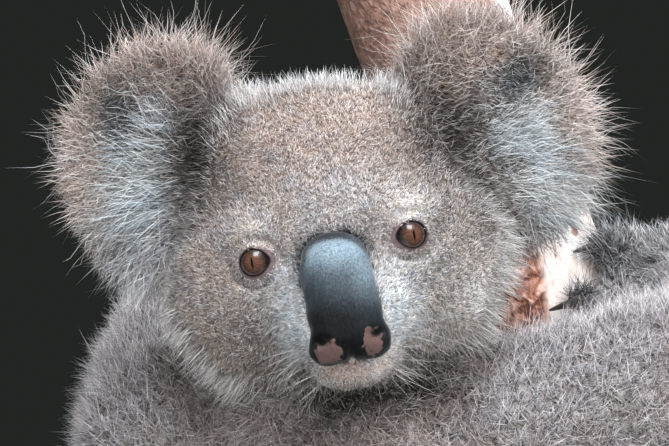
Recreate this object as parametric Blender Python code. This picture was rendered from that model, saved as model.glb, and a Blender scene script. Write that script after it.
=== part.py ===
"""A life-size koala hugging a cut length of tree limb and looking back over its shoulder.

The body is modelled whole from named masses, out to the tips of the coat, and is then parted into
its limbs and segments with cuts 0.3 mm wide. A plain stand holds the limb up from the floor.

Metres, +Z up. The origin is the centre of the stand's underside. The face looks along -Y.
Left and right in the names are the koala's own.
"""

import math

import bmesh
import bpy
from mathutils import Matrix, Vector

MM = 0.001

# --- Driving dimensions -------------------------------------------------------------------------
HEAD = Vector((-0.120, -0.100, 0.640))  # midway between the eyes' level and the ears, in the head
HEAD_ROLL = math.radians(10)  # the koala's left ear is the higher one
BODY_YAW = math.radians(21.4)  # the chest faces away from the face, and this much to +X
GAP = 0.3 * MM  # the width of every cut between two pieces
EASE = 3.5 * MM  # how far a parting shell stands off the mass that it goes round
CLEAR = 0.45 * MM  # how much a pocket is larger than what sits in it

LIMB_RADIUS = 39 * MM
LIMB_SWELL = 5 * MM  # how much thicker the limb is at its lower end
LIMB_LEAN = 0.37  # sideways run for each metre of height, above the bend
LIMB_AT = Vector((0.0865, 0.165))  # its centre beside the head, in x and y from HEAD
LIMB_BEND_TOP = -0.050  # heights from HEAD between which the limb bends upright
LIMB_BEND_SPAN = 0.300
LIMB_ENDS = (-0.560, 0.150)

BASE_SIZE = (0.420, 0.360, 0.022)
BASE_CORNER = 0.060
ROD_RADIUS = 7 * MM
ROD_SPREAD = 0.018  # each rod's distance from the limb's centre line

EYE_RADIUS = 8.0 * MM
EYE_SPREAD = 32.5 * MM  # each eye's centre from the head's middle plane
EYE_DEPTH = 39.5 * MM  # how far forward of HEAD the eyes' centres are

SCRAP = 1.5e-6  # a sliver with a volume below this, shaved off by a parting shell, is dropped
BODY_VOXEL = 4.2 * MM
HEAD_VOXEL = 3.4 * MM


# --- Frames -------------------------------------------------------------------------------------
def frame(origin, x_axis, y_axis, z_axis):
    """The matrix of a frame with these axes, at origin."""
    turned = Matrix((x_axis, y_axis, z_axis)).transposed().to_4x4()
    return Matrix.Translation(origin) @ turned


def head_frame():
    """x to the koala's left, y forward along the muzzle, z up through the crown."""
    c, s = math.cos(HEAD_ROLL), math.sin(HEAD_ROLL)
    return frame(HEAD, Vector((c, 0, s)), Vector((0, -1, 0)), Vector((-s, 0, c)))


def body_frame():
    """x to the koala's right, y out through the chest, z up along the spine, all from HEAD."""
    chest = Vector((math.sin(BODY_YAW), math.cos(BODY_YAW), 0))
    spine = Vector((-0.407, 0, 0.913))
    right = spine.cross(chest).normalized() * -1
    chest = spine.cross(right).normalized()
    return frame(HEAD, right, chest, spine)


def limb_centre(height):
    """The limb's centre line at a height above or below HEAD."""
    drop = LIMB_BEND_TOP - height
    if drop < 0:
        run = drop
    else:
        bent = min(drop, LIMB_BEND_SPAN)
        run = bent - bent * bent / (2 * LIMB_BEND_SPAN)
    x_at_bend = LIMB_AT.x - LIMB_LEAN * LIMB_BEND_TOP
    return HEAD + Vector((x_at_bend + LIMB_LEAN * run, LIMB_AT.y, height))


def limb_radius(height):
    low, high = LIMB_ENDS
    return LIMB_RADIUS + LIMB_SWELL * (high - height) / (high - low)


def limb_frame(height):
    """Origin on the centre line, x across to +X, y across to -Y (the face's side), z along the limb."""
    step = 0.004
    along = (limb_centre(height + step) - limb_centre(height - step)).normalized()
    across = Vector((1, 0, 0)) - along * along.x
    across.normalize()
    return frame(limb_centre(height), across, along.cross(across) * -1, along)


def on_limb(height, angle, reach):
    """A point at an angle round the limb (0 at +X, 90 on the face's side), reach outside its bark."""
    turned = math.radians(angle)
    out = limb_radius(height) + reach
    return limb_frame(height) @ Vector((out * math.cos(turned), out * math.sin(turned), 0))


# --- Mesh helpers -------------------------------------------------------------------------------
def clear_scene():
    for obj in list(bpy.data.objects):
        bpy.data.objects.remove(obj)


def material(name, colour, roughness, metallic=0.0):
    made = bpy.data.materials.new(name)
    made.use_nodes = True
    shader = made.node_tree.nodes["Principled BSDF"]
    shader.inputs["Base Color"].default_value = (*colour, 1)
    shader.inputs["Roughness"].default_value = roughness
    shader.inputs["Metallic"].default_value = metallic
    return made


def object_from(bm, name):
    mesh = bpy.data.meshes.new(name)
    bm.to_mesh(mesh)
    bm.free()
    made = bpy.data.objects.new(name, mesh)
    bpy.context.scene.collection.objects.link(made)
    return made


def ball(bm, where, centre, radii, detail=3):
    """An ellipsoid in the frame `where`. centre and radii are in millimetres."""
    size = Matrix.Diagonal((*(r * MM for r in radii), 1))
    place = where @ Matrix.Translation(Vector(centre) * MM) @ size
    bmesh.ops.create_icosphere(bm, subdivisions=detail, radius=1, matrix=place)


def chain(bm, points, radii, detail=2, sides=14):
    """A limb or digit: a ball at each point, in metres, and a cone from each to the next."""
    for point, radius in zip(points, radii):
        ball(bm, Matrix.Translation(point), (0, 0, 0), (radius / MM,) * 3, detail)
    for (a, b), (ra, rb) in zip(zip(points, points[1:]), zip(radii, radii[1:])):
        span = b - a
        turn = span.to_track_quat("Z", "Y").to_matrix().to_4x4()
        place = Matrix.Translation((a + b) / 2) @ turn
        bmesh.ops.create_cone(
            bm, cap_ends=True, segments=sides, radius1=ra, radius2=rb, depth=span.length, matrix=place
        )


def finished(obj):
    """The object with its modifiers applied."""
    graph = bpy.context.evaluated_depsgraph_get()
    mesh = bpy.data.meshes.new_from_object(obj.evaluated_get(graph))
    obj.modifiers.clear()
    obj.data = mesh
    return obj


def fused(bm, name, voxel, rounds, firm=None):
    """One smooth skin round all the masses in bm. firm(point) from 0 to 1 holds fine shapes sharp."""
    obj = object_from(bm, name)
    remesh = obj.modifiers.new("skin", "REMESH")
    remesh.mode = "VOXEL"
    remesh.voxel_size = voxel
    finished(obj)
    group = obj.vertex_groups.new(name="soft")
    for vertex in obj.data.vertices:
        group.add([vertex.index], 1 - (firm(vertex.co) if firm else 0), "REPLACE")
    smooth = obj.modifiers.new("smooth", "SMOOTH")
    smooth.factor = 0.5
    smooth.iterations = rounds
    smooth.vertex_group = "soft"
    return finished(obj)


def thinned(obj, triangles):
    """The object with about this many triangles, fewest where it is flattest."""
    faces = sum(len(face.vertices) - 2 for face in obj.data.polygons)
    thin = obj.modifiers.new("thin", "DECIMATE")
    thin.ratio = min(1, triangles / faces)
    thin.use_collapse_triangulate = True
    return finished(obj)


def swollen(obj, amount):
    """A copy whose surface stands out by this amount, as the pocket for the piece itself."""
    copy = obj.copy()
    copy.data = obj.data.copy()
    bpy.context.scene.collection.objects.link(copy)
    out = copy.modifiers.new("out", "DISPLACE")
    out.strength = amount
    out.mid_level = 0
    return finished(copy)


def joined(objects, name):
    """One mesh that holds these objects' closed surfaces, which don't touch."""
    bm = bmesh.new()
    for obj in objects:
        bm.from_mesh(obj.data)
        bpy.data.objects.remove(obj)
    return object_from(bm, name)


def cut(obj, cutter):
    """Takes cutter away from obj, and removes the cutter."""
    knife = obj.modifiers.new("cut", "BOOLEAN")
    knife.operation = "DIFFERENCE"
    knife.solver = "EXACT"
    knife.object = cutter
    finished(obj)
    bpy.data.objects.remove(cutter)
    return obj


def parting_shell(obj):
    """Turns a closed mass into a wall as thin as GAP all round it, for parting what crosses it."""
    wall = obj.modifiers.new("wall", "SOLIDIFY")
    wall.thickness = GAP
    wall.offset = 0
    return finished(obj)


def parting_disc(centre, normal, radius):
    """A disc as thin as GAP, square to normal."""
    bm = bmesh.new()
    turn = Vector(normal).to_track_quat("Z", "Y").to_matrix().to_4x4()
    place = Matrix.Translation(centre) @ turn
    bmesh.ops.create_cone(
        bm, cap_ends=True, segments=20, radius1=radius, radius2=radius, depth=GAP, matrix=place
    )
    return object_from(bm, "disc")


def islands(obj):
    """The separate closed pieces of obj, each as its own object. obj is removed."""
    bm = bmesh.new()
    bm.from_mesh(obj.data)
    bpy.data.objects.remove(obj)
    pieces, left = [], set(bm.verts)
    while left:
        found, edge = set(), [left.pop()]
        while edge:
            vertex = edge.pop()
            found.add(vertex)
            for link in vertex.link_edges:
                other = link.other_vert(vertex)
                if other in left:
                    left.discard(other)
                    edge.append(other)
        index = {vertex: n for n, vertex in enumerate(found)}
        mesh = bpy.data.meshes.new("piece")
        faces = {face for vertex in found for face in vertex.link_faces}
        mesh.from_pydata([v.co for v in found], [], [[index[v] for v in f.verts] for f in faces])
        piece = bpy.data.objects.new("piece", mesh)
        bpy.context.scene.collection.objects.link(piece)
        pieces.append(piece)
    bm.free()
    return pieces


def middle(obj):
    total = Vector((0, 0, 0))
    for vertex in obj.data.vertices:
        total += vertex.co
    return total / len(obj.data.vertices)


def volume_of(obj):
    bm = bmesh.new()
    bm.from_mesh(obj.data)
    found = bm.calc_volume()
    bm.free()
    return found


# --- Head, in millimetres from HEAD: sideways, forward, up ---------------------------------------
HEAD_MASSES = {
    "cranium": ((0, -10, 17), (64, 54, 53)),
    "crown": ((0, 4, 42), (53, 41, 33)),
    "back of skull": ((0, -30, 2), (52, 36, 44)),
    "forehead": ((0, 26, 18), (44, 28, 28)),
    "throat": ((0, 14, -34), (48, 40, 27)),
    "muzzle": ((0, 47, -27), (31, 27, 25)),
    "muzzle front": ((0, 60, -31), (24, 19, 18)),
    "chin": ((0, 57, -48), (21.5, 17.5, 13.5)),
    "crown by the right ear": ((-27, 2, 58), (20, 20, 19)),
    "crown by the left ear": ((32, 2, 53), (18, 19, 17)),
}
HEAD_PAIRS = {
    "cheek": ((41, 8, -12), (37, 38, 36)),
    "jowl": ((36, 16, -30), (31, 30, 23)),
    "brow": ((30, 33, 12), (20, 17, 14)),
    "under the eye": ((30, 34, -13), (21, 17, 15)),
    "ruff": ((46, 5, -33), (22.5, 24, 19)),
}
NOSE_MASSES = {
    "bridge": ((0, 53, -3), (15, 10, 11)),
    "saddle": ((0, 60, -10), (16.5, 12, 15)),
    "slope": ((0, 65, -18), (17.3, 13, 15)),
    "ball": ((0, 69, -27), (18, 14, 16)),
    "tip": ((0, 73, -36), (18.5, 11.5, 11.5)),
}
NOSTRIL_WING = ((10.5, 71, -40), (10, 9.5, 8))


def head_masses(bm):
    place = head_frame()
    for centre, radii in HEAD_MASSES.values():
        ball(bm, place, centre, radii)
    for (x, y, z), radii in HEAD_PAIRS.values():
        for side in (-1, 1):
            ball(bm, place, (side * x, y, z), radii)


def make_nose():
    """The bare leather pad from between the eyes down over the tip."""
    bm = bmesh.new()
    place = head_frame()
    for centre, radii in NOSE_MASSES.values():
        ball(bm, place, centre, radii)
    (x, y, z), radii = NOSTRIL_WING
    for side in (-1, 1):
        ball(bm, place, (side * x, y, z), radii)
    return thinned(fused(bm, "nose", 2.2 * MM, 8), 280)


def eye_centre(side):
    return head_frame() @ Vector((side * EYE_SPREAD, EYE_DEPTH, 0))


def make_eye(name, side):
    bm = bmesh.new()
    radius = EYE_RADIUS / MM
    ball(bm, Matrix.Translation(eye_centre(side)), (0, 0, 0), (radius,) * 3, 2)
    return object_from(bm, name)


# --- Ears ---------------------------------------------------------------------------------------
EAR_SIZE = {-1: (50, 62), 1: (50, 62)}  # half width and half height of the fluff, by side
EAR_AT = {-1: (-73, -16, 52), 1: (84, -16, 44)}
EAR_TURN = math.radians(14)  # the cup's mouth turns this much out to the side
EAR_LEAN = math.radians(16)  # its top leans this much towards the crown
EAR_THICK = 20
EAR_DISH = 15


def ear_frame(side):
    """x out to the side, y out of the cup's mouth, z up, at the middle of the ear."""
    turn = Matrix.Rotation(-side * EAR_TURN, 4, "Z") @ Matrix.Rotation(-side * EAR_LEAN, 4, "Y")
    return head_frame() @ Matrix.Translation(Vector(EAR_AT[side]) * MM) @ turn


def ear_cup(bm, side):
    """A thick round cup of fluff: a flattened ball whose front is pressed in to a dish."""
    half_width, half_height = EAR_SIZE[side]
    made = bmesh.ops.create_icosphere(bm, subdivisions=4, radius=1)
    place = ear_frame(side)
    for vertex in made["verts"]:
        x, y, z = vertex.co
        out = min(1, math.hypot(x, z))
        depth = EAR_THICK * y
        if y > 0:
            depth -= EAR_DISH * (1 - out**2) ** 1.5
        vertex.co = place @ (Vector((half_width * x, depth, half_height * z)) * MM)


# --- Trunk of the body, in millimetres from HEAD in the body's frame ------------------------------
def spine_point(share):
    """A point of the spine, from the shoulders at 0 to the rump at 1, from HEAD."""
    shoulders, rump = Vector((8, 47, -94)), Vector((134, 38, -368))
    bow = Vector((-4, -13, 0)) * math.sin(math.pi * min(1, max(0, share)))
    return HEAD + (shoulders.lerp(rump, share) + bow) * MM


TORSO_STATIONS = [  # share along the spine, then radii across, chest to back, and along the spine
    (0.12, (92, 84, 56)),
    (0.30, (94, 87, 80)),
    (0.50, (99, 91, 80)),
    (0.72, (105, 96, 88)),
    (0.97, (104, 90, 84)),
]


def torso_masses(bm):
    """Balls along the spine, close enough together to fuse without waists."""
    turned = body_frame().to_3x3().to_4x4()
    for (a, radii_a), (b, radii_b) in zip(TORSO_STATIONS, TORSO_STATIONS[1:]):
        for step in (0, 1 / 3, 2 / 3, 1):
            radii = [ra + (rb - ra) * step for ra, rb in zip(radii_a, radii_b)]
            ball(bm, Matrix.Translation(spine_point(a + (b - a) * step)) @ turned, (0, 0, 0), radii)


def neck_masses(bm):
    foot, top = spine_point(0.05), HEAD + Vector((0, 12, -25)) * MM
    chain(bm, [foot, foot.lerp(top, 0.5), top], [62 * MM, 58 * MM, 54 * MM], detail=3)


def neck_core(bm):
    """A stouter neck, which takes in all that joins the arms across it."""
    foot, top = spine_point(-0.05), HEAD + Vector((0, 12, -20)) * MM
    chain(bm, [foot, top], [74 * MM, 74 * MM], detail=3)


# --- Arms and legs --------------------------------------------------------------------------------
# Each is a chain of points from HEAD, in millimetres, and the radius there. The last point before
# the hand or foot is worked out from the limb, which the palm or sole lies against.
ARMS = {
    "right": {"points": [(80, 20, -88), (142, 38, -65), (201, 62, -43)], "radii": [51, 46, 38]},
    "left": {"points": [(-59, 75, -96), (-68, 125, -74), (-66, 172, -46)], "radii": [61, 51, 42]},
}
LEGS = {
    "right": {"points": [(190, 10, -372), (234, 50, -345), (270, 92, -320)], "radii": [62, 54, 41]},
    "left": {"points": [(76, 58, -366), (56, 112, -338), (48, 160, -318)], "radii": [62, 53, 41]},
}
HAND_HEIGHT = {"right": -0.034, "left": 0.030}
FOOT_HEIGHT = {"right": -0.408, "left": -0.425}
SIDE = {"right": 0, "left": 180}  # the angle round the limb that the palm or sole lies at
NEAR = {"right": 1, "left": -1}  # which way round the limb leads to the face's side

# Digits: height beside the palm at root and tip, then the angles they cover, then root and tip radius.
HAND_DIGITS = {
    "thumb": ((-0.006, 0.003), (20, 72), (11.5, 9.5)),
    "index": ((0.014, 0.023), (16, 42), (11.5, 9.5)),
    "middle": ((0.013, 0.017), (-18, -72), (9.5, 7.5)),
    "ring": ((-0.003, -0.003), (-18, -80), (9.5, 7.5)),
    "little": ((-0.018, -0.022), (-16, -68), (9, 7)),
}
FOOT_DIGITS = {
    "great": ((-0.006, -0.012), (22, 66), (11, 9.5)),
    "second": ((0.021, 0.027), (-16, -66), (10.5, 8)),
    "fourth": ((0.000, 0.003), (-16, -78), (11, 8.5)),
    "fifth": ((-0.021, -0.024), (-14, -68), (10, 8)),
}
CLAW_REACH = 17  # degrees round the limb from a digit's tip to its claw's point
CLAW_ROOT, CLAW_POINT = 3.1 * MM, 0.7 * MM


def digit_points(height, side, digit, steps=5):
    """A digit that wraps the limb: its points, from the palm outwards, and their radii."""
    (low, high), (start, end), (thick, thin) = digit
    points, radii = [], []
    for n in range(steps):
        share = n / (steps - 1)
        at = height + low + (high - low) * share
        angle = SIDE[side] + NEAR[side] * (start + (end - start) * share)
        radius = (thick + (thin - thick) * share) * MM
        knuckle = 3.0 * MM * math.sin(math.pi * share)
        points.append(on_limb(at, angle, radius * 0.9 + knuckle))
        radii.append(radius)
    return points, radii


def claw(name, height, side, digit, spread=0.0):
    """A hooked claw from a digit's tip, bent to the bark. spread sets two claws of one digit apart."""
    (_, tip), (start, end), (_, thin) = digit
    way = math.copysign(1, end - start)
    bm = bmesh.new()
    steps = 4
    rings = []
    for n in range(steps):
        share = n / (steps - 1)
        angle = SIDE[side] + NEAR[side] * (end + way * (CLAW_REACH * share - 3))
        lift = (thin + 2.5) * MM * (1 - share) ** 1.3 + 1.4 * MM
        radius = CLAW_ROOT + (CLAW_POINT - CLAW_ROOT) * share
        centre = on_limb(height + tip + spread, angle, lift)
        ahead = on_limb(height + tip + spread, angle + NEAR[side] * way * 2, lift * 0.9)
        turn = (ahead - centre).to_track_quat("Z", "Y").to_matrix().to_4x4()
        circle = bmesh.ops.create_circle(
            bm, cap_ends=n in (0, steps - 1), segments=6, radius=radius,
            matrix=Matrix.Translation(centre) @ turn,
        )
        rings.append([v for v in circle["verts"]])
    for a, b in zip(rings, rings[1:]):
        for n in range(len(a)):
            m = (n + 1) % len(a)
            bm.faces.new((a[n], a[m], b[m], b[n]))
    bmesh.ops.recalc_face_normals(bm, faces=bm.faces)
    return object_from(bm, name)


def palm_masses(bm, height, side, digits, radii):
    """A pad against the bark with its digits."""
    place = limb_frame(height)
    turn = Matrix.Rotation(math.radians(SIDE[side]), 4, "Z")
    out = (limb_radius(height) / MM) + radii[0] * 0.85
    ball(bm, place @ turn, (out, 0, 0), radii)
    for digit in digits.values():
        points, widths = digit_points(height, side, digit)
        chain(bm, points, widths)


def wrist_point(height, side, reach, turn=8):
    return on_limb(height, SIDE[side] + NEAR[side] * turn, reach)


def arm_points(side):
    points = [HEAD + Vector(p) * MM for p in ARMS[side]["points"]]
    return points + [wrist_point(HAND_HEIGHT[side], side, 30 * MM)]


def leg_points(side):
    points = [HEAD + Vector(p) * MM for p in LEGS[side]["points"]]
    return points + [wrist_point(FOOT_HEIGHT[side] + 0.004, side, 26 * MM)]


def limb_masses(bm):
    for side in ("right", "left"):
        chain(bm, arm_points(side), [r * MM for r in ARMS[side]["radii"] + [23]], detail=3)
        palm_masses(bm, HAND_HEIGHT[side], side, HAND_DIGITS, (15, 21, 22))
        chain(bm, leg_points(side), [r * MM for r in LEGS[side]["radii"] + [27]], detail=3)
        palm_masses(bm, FOOT_HEIGHT[side], side, FOOT_DIGITS, (17, 23, 32))


# --- The tree limb and the stand --------------------------------------------------------------------
def make_perch(name, margin=0.0, sides=16, levels=13):
    """The cut length of limb: level below for the rods, square above, with low swellings."""
    bm = bmesh.new()
    low, high = LIMB_ENDS
    rings = []
    for n in range(levels + 1):
        height = low + (high - low) * n / levels
        place = limb_frame(height)
        ring = []
        for k in range(sides):
            angle = 2 * math.pi * k / sides
            lump = 1.3 * MM * math.sin(2 * angle + 21 * height) * math.sin(34 * height)
            out = limb_radius(height) + lump + margin
            ring.append(bm.verts.new(place @ Vector((out * math.cos(angle), out * math.sin(angle), 0))))
        rings.append(ring)
    for a, b in zip(rings, rings[1:]):
        for k in range(sides):
            m = (k + 1) % sides
            bm.faces.new((a[k], a[m], b[m], b[k]))
    bm.faces.new(rings[0])
    bm.faces.new(rings[-1])
    bmesh.ops.recalc_face_normals(bm, faces=bm.faces)
    return object_from(bm, name)


def make_base():
    """A plain plate with round corners and eased upper edges."""
    width, depth, height = BASE_SIZE
    bm = bmesh.new()
    bmesh.ops.create_cube(bm, size=1, matrix=Matrix.Diagonal((width, depth, height, 1)))
    upright = [e for e in bm.edges if abs(e.verts[0].co.z - e.verts[1].co.z) > height / 2]
    bmesh.ops.bevel(bm, geom=upright, offset=BASE_CORNER, segments=5, profile=0.5, affect="EDGES")
    upper = [e for e in bm.edges if all(v.co.z > height / 4 for v in e.verts) and len(e.link_faces) == 2]
    rim = [e for e in upper if any(abs(f.normal.z) < 0.5 for f in e.link_faces)]
    bmesh.ops.bevel(bm, geom=rim, offset=4 * MM, segments=2, profile=0.5, affect="EDGES")
    bmesh.ops.translate(bm, verts=bm.verts, vec=(0, 0, height / 2))
    return object_from(bm, "stand_base")


def make_rod(name, offset):
    """A rod from the plate up to the limb's cut end."""
    foot = BASE_SIZE[2] + GAP
    top = HEAD.z + LIMB_ENDS[0] - GAP
    centre = limb_centre(LIMB_ENDS[0])
    bm = bmesh.new()
    place = Matrix.Translation((centre.x + offset, centre.y, (foot + top) / 2))
    bmesh.ops.create_cone(
        bm, cap_ends=True, segments=20, radius1=ROD_RADIUS, radius2=ROD_RADIUS,
        depth=top - foot, matrix=place,
    )
    return object_from(bm, name)


# --- The whole animal, and its parting ----------------------------------------------------------------
def firmness(point):
    """1 where fine shapes are kept, as at the hands and feet, and 0 on the rest of the body."""
    firm = 0.0
    for side in ("right", "left"):
        for height, reach in ((HAND_HEIGHT[side], 0.075), (FOOT_HEIGHT[side], 0.085)):
            distance = (point - limb_centre(height)).length
            firm = max(firm, min(1, max(0, (reach + 0.02 - distance) / 0.03)))
    head = head_frame().inverted() @ point
    if head.y > 0.030 and head.length < 0.12:
        firm = max(firm, 0.45)
    return 0.85 * firm


def make_claws():
    claws = []
    for side in ("right", "left"):
        for digit, shape in HAND_DIGITS.items():
            claws.append(claw(f"claw_hand_{side}_{digit}", HAND_HEIGHT[side], side, shape))
        for digit, shape in FOOT_DIGITS.items():
            height = FOOT_HEIGHT[side]
            if digit == "second":  # the second and third toes share one skin and keep two claws
                claws.append(claw(f"claw_foot_{side}_second", height, side, shape, -3.9 * MM))
                claws.append(claw(f"claw_foot_{side}_third", height, side, shape, 3.9 * MM))
            elif digit != "great":  # the great toe has no claw
                claws.append(claw(f"claw_foot_{side}_{digit}", height, side, shape))
    return claws


def core(masses, name, triangles, voxel=BODY_VOXEL):
    """The parting shell round some masses."""
    bm = bmesh.new()
    masses(bm)
    solid = thinned(fused(bm, name, voxel, 8), triangles)
    return parting_shell(swollen_in_place(solid, EASE))


def swollen_in_place(obj, amount):
    copy = swollen(obj, amount)
    bpy.data.objects.remove(obj)
    return copy


def names_by_place():
    """Where the middle of each fleshy piece is expected."""
    def between(points, a, b):
        return (points[a] + points[b]) / 2

    places = {
        "head": HEAD,
        "neck": spine_point(0.0) + Vector((0, -0.005, 0.045)),
        "chest": spine_point(0.25),
        "belly_and_rump": spine_point(0.80),
    }
    for side, sign in (("left", 1), ("right", -1)):
        places[f"ear_{side}"] = head_frame() @ (Vector(EAR_AT[sign]) * MM)
    for side in ("left", "right"):
        arm, leg = arm_points(side), leg_points(side)
        places[f"upper_arm_{side}"] = between(arm, 1, 1)
        places[f"forearm_{side}"] = between(arm, 2, 3)
        places[f"hand_{side}"] = on_limb(HAND_HEIGHT[side], SIDE[side], 12 * MM)
        places[f"thigh_{side}"] = between(leg, 1, 1)
        places[f"shank_{side}"] = between(leg, 2, 3)
        places[f"foot_{side}"] = on_limb(FOOT_HEIGHT[side], SIDE[side], 12 * MM)
    return places


def joint_disc(points, at):
    """A parting disc at a joint, square to the line through its neighbours."""
    before, after = points[at] - points[at - 1], points[at + 1] - points[at]
    return parting_disc(points[at], before.normalized() + after.normalized(), 0.130)


def wrist_disc(points, share):
    """A parting disc across the last span of a chain."""
    a, b = points[-2], points[-1]
    return parting_disc(a.lerp(b, share), b - a, 0.080)


def nearest_piece(pieces, place):
    """The piece with a vertex nearest to place."""
    return min(pieces, key=lambda piece: min((v.co - place).length for v in piece.data.vertices))


def parted(pieces, near, discs):
    """Cuts the one piece that lies nearest, and gives the new list of pieces."""
    piece = nearest_piece(pieces, near)
    pieces.remove(piece)
    for disc in discs:
        cut(piece, disc)
    return pieces + islands(piece)


def make_koala():
    """All fleshy pieces, the nose, the eyes and the claws."""
    bm = bmesh.new()
    head_masses(bm)
    for side in (-1, 1):
        ear_cup(bm, side)
    torso_masses(bm)
    neck_masses(bm)
    limb_masses(bm)
    whole = thinned(fused(bm, "whole", BODY_VOXEL, 9, firmness), 2640)

    nose = make_nose()
    eyes = [make_eye("eye_left", 1), make_eye("eye_right", -1)]
    claws = make_claws()
    # Eyes, nose and claws are trimmed by nothing: the flesh has a pocket for each of them.
    pockets = [swollen(piece, CLEAR) for piece in [nose, *eyes, *claws]]
    cut(whole, joined(pockets, "pockets"))
    cut(whole, make_perch("clearance", margin=CLEAR))

    cut(whole, core(head_masses, "head core", 380, HEAD_VOXEL))
    cut(whole, core(torso_masses, "torso core", 300))
    pieces = islands(whole)
    pieces = parted(pieces, HEAD + Vector((0, 0.052, -0.070)), [core(neck_core, "neck core", 160)])
    spine = body_frame().to_3x3().col[2]
    pieces = parted(pieces, spine_point(0.5) + spine.cross(Vector((0, 1, 0))) * 0.09,
                    [parting_disc(spine_point(0.50), spine, 0.150)])
    for side in ("right", "left"):
        arm, leg = arm_points(side), leg_points(side)
        pieces = parted(pieces, arm[2], [joint_disc(arm, 2), wrist_disc(arm, 0.80)])
        pieces = parted(pieces, leg[2], [joint_disc(leg, 2), wrist_disc(leg, 0.72)])

    for piece in [p for p in pieces if volume_of(p) < SCRAP]:
        pieces.remove(piece)
        bpy.data.objects.remove(piece)
    places = names_by_place()
    named = {}
    for piece in sorted(pieces, key=volume_of, reverse=True):
        here = middle(piece)
        name = min(places, key=lambda n: (places[n] - here).length)
        if name in named:
            print(f"extra piece near {name}: {volume_of(piece) * 1e6:.2f} cm3 at {here}")
            bpy.data.objects.remove(piece)
            continue
        named[name] = piece
        piece.name = name
    for name in places:
        if name not in named:
            print("no piece for", name)
    return named, nose, eyes, claws


def paint(objects, finish):
    for obj in objects:
        obj.data.materials.clear()
        obj.data.materials.append(finish)


def main():
    clear_scene()
    coat = material("coat", (0.36, 0.31, 0.29), 0.95)
    ear_coat = material("ear_coat", (0.50, 0.50, 0.50), 0.95)
    leather = material("nose_leather", (0.055, 0.065, 0.075), 0.6)
    eye = material("eye", (0.08, 0.035, 0.02), 0.08)
    horn = material("claw_horn", (0.03, 0.026, 0.024), 0.4)
    bark = material("bark", (0.42, 0.26, 0.20), 0.85)
    plate = material("stand_paint", (0.10, 0.10, 0.105), 0.5)
    steel = material("stand_steel", (0.55, 0.55, 0.56), 0.3, 1.0)

    flesh, nose, eyes, claws = make_koala()
    paint([piece for name, piece in flesh.items() if not name.startswith("ear")], coat)
    paint([piece for name, piece in flesh.items() if name.startswith("ear")], ear_coat)
    paint([nose], leather)
    paint(eyes, eye)
    paint(claws, horn)
    paint([make_perch("perch_limb")], bark)
    paint([make_base()], plate)
    paint([make_rod("stand_rod_1", -ROD_SPREAD), make_rod("stand_rod_2", ROD_SPREAD)], steel)
    print("triangles", sum(len(p.vertices) - 2 for o in bpy.data.objects for p in o.data.polygons))


main()
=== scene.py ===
# %% [markdown]
# # A koala on a cut length of tree limb
#
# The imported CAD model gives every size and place. It is a set of plain solids that reach out to the
# tips of the coat. This lesson puts a real surface on them: one skin, lids and eyes, a leather nose,
# close to three hundred thousand small locks of fur, claws, bark and a plain display stand.

# %% Load the frame
import math
from contextlib import contextmanager

import bmesh
import bpy
import numpy as np
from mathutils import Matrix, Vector
from mathutils.bvhtree import BVHTree
from mathutils.kdtree import KDTree
from mathutils.noise import fractal


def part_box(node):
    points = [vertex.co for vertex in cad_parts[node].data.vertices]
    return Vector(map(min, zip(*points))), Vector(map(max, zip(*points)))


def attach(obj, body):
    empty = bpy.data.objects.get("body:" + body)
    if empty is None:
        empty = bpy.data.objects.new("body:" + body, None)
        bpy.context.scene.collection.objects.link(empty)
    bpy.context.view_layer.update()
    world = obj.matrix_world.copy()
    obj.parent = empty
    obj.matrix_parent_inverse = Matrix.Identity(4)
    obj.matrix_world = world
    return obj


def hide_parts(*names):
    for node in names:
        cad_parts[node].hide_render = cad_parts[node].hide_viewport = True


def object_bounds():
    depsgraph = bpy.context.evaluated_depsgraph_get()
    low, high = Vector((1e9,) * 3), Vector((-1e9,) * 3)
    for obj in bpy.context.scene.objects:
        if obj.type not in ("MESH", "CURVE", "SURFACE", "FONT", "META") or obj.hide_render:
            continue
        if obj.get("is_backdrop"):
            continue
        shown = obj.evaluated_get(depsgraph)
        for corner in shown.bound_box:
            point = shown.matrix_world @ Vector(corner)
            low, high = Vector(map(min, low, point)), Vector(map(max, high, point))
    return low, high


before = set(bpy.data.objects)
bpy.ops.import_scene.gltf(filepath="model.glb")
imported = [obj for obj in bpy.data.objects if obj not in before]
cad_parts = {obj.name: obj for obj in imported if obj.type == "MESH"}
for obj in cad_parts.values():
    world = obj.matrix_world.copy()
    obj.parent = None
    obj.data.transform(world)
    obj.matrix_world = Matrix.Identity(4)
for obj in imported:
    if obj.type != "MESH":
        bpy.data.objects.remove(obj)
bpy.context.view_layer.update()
MM = 0.001

# %% [markdown]
# Most of the shapes below follow the head, which is turned and tipped. So we first find the head's
# own axes from the two eyes: across to the koala's left, forward along the muzzle, and up through
# the crown. Every place on the face is then given in millimetres along these three axes. A side is 1
# for the koala's left and -1 for its right.


# %% The head's own axes
def centre_of(node):
    """The middle of a CAD node's box."""
    low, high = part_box(node)
    return (low + high) / 2


EYES = {1: centre_of("eye_left"), -1: centre_of("eye_right")}
EYE_RADIUS = 8.0 * MM
EYE_DEPTH = 39.5 * MM
FORWARD = Vector((0, -1, 0))
ACROSS = (EYES[1] - EYES[-1]).normalized()
UP = FORWARD.cross(ACROSS)
HEAD = (EYES[1] + EYES[-1]) / 2 - FORWARD * EYE_DEPTH
AXES = np.array([ACROSS, FORWARD, UP])


def to_head(points):
    """Points in the room as across, forward and up from the head's middle, in millimetres."""
    return (np.asarray(points) - np.array(HEAD)) @ AXES.T / MM


def from_head(points):
    """Points in head millimetres back in the room, in metres."""
    return np.asarray(points, float) * MM @ AXES + np.array(HEAD)


eyes_apart = (EYES[1] - EYES[-1]).length / MM
print("head at", tuple(round(v, 4) for v in HEAD), "eyes", round(eyes_apart, 1), "mm apart")

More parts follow.
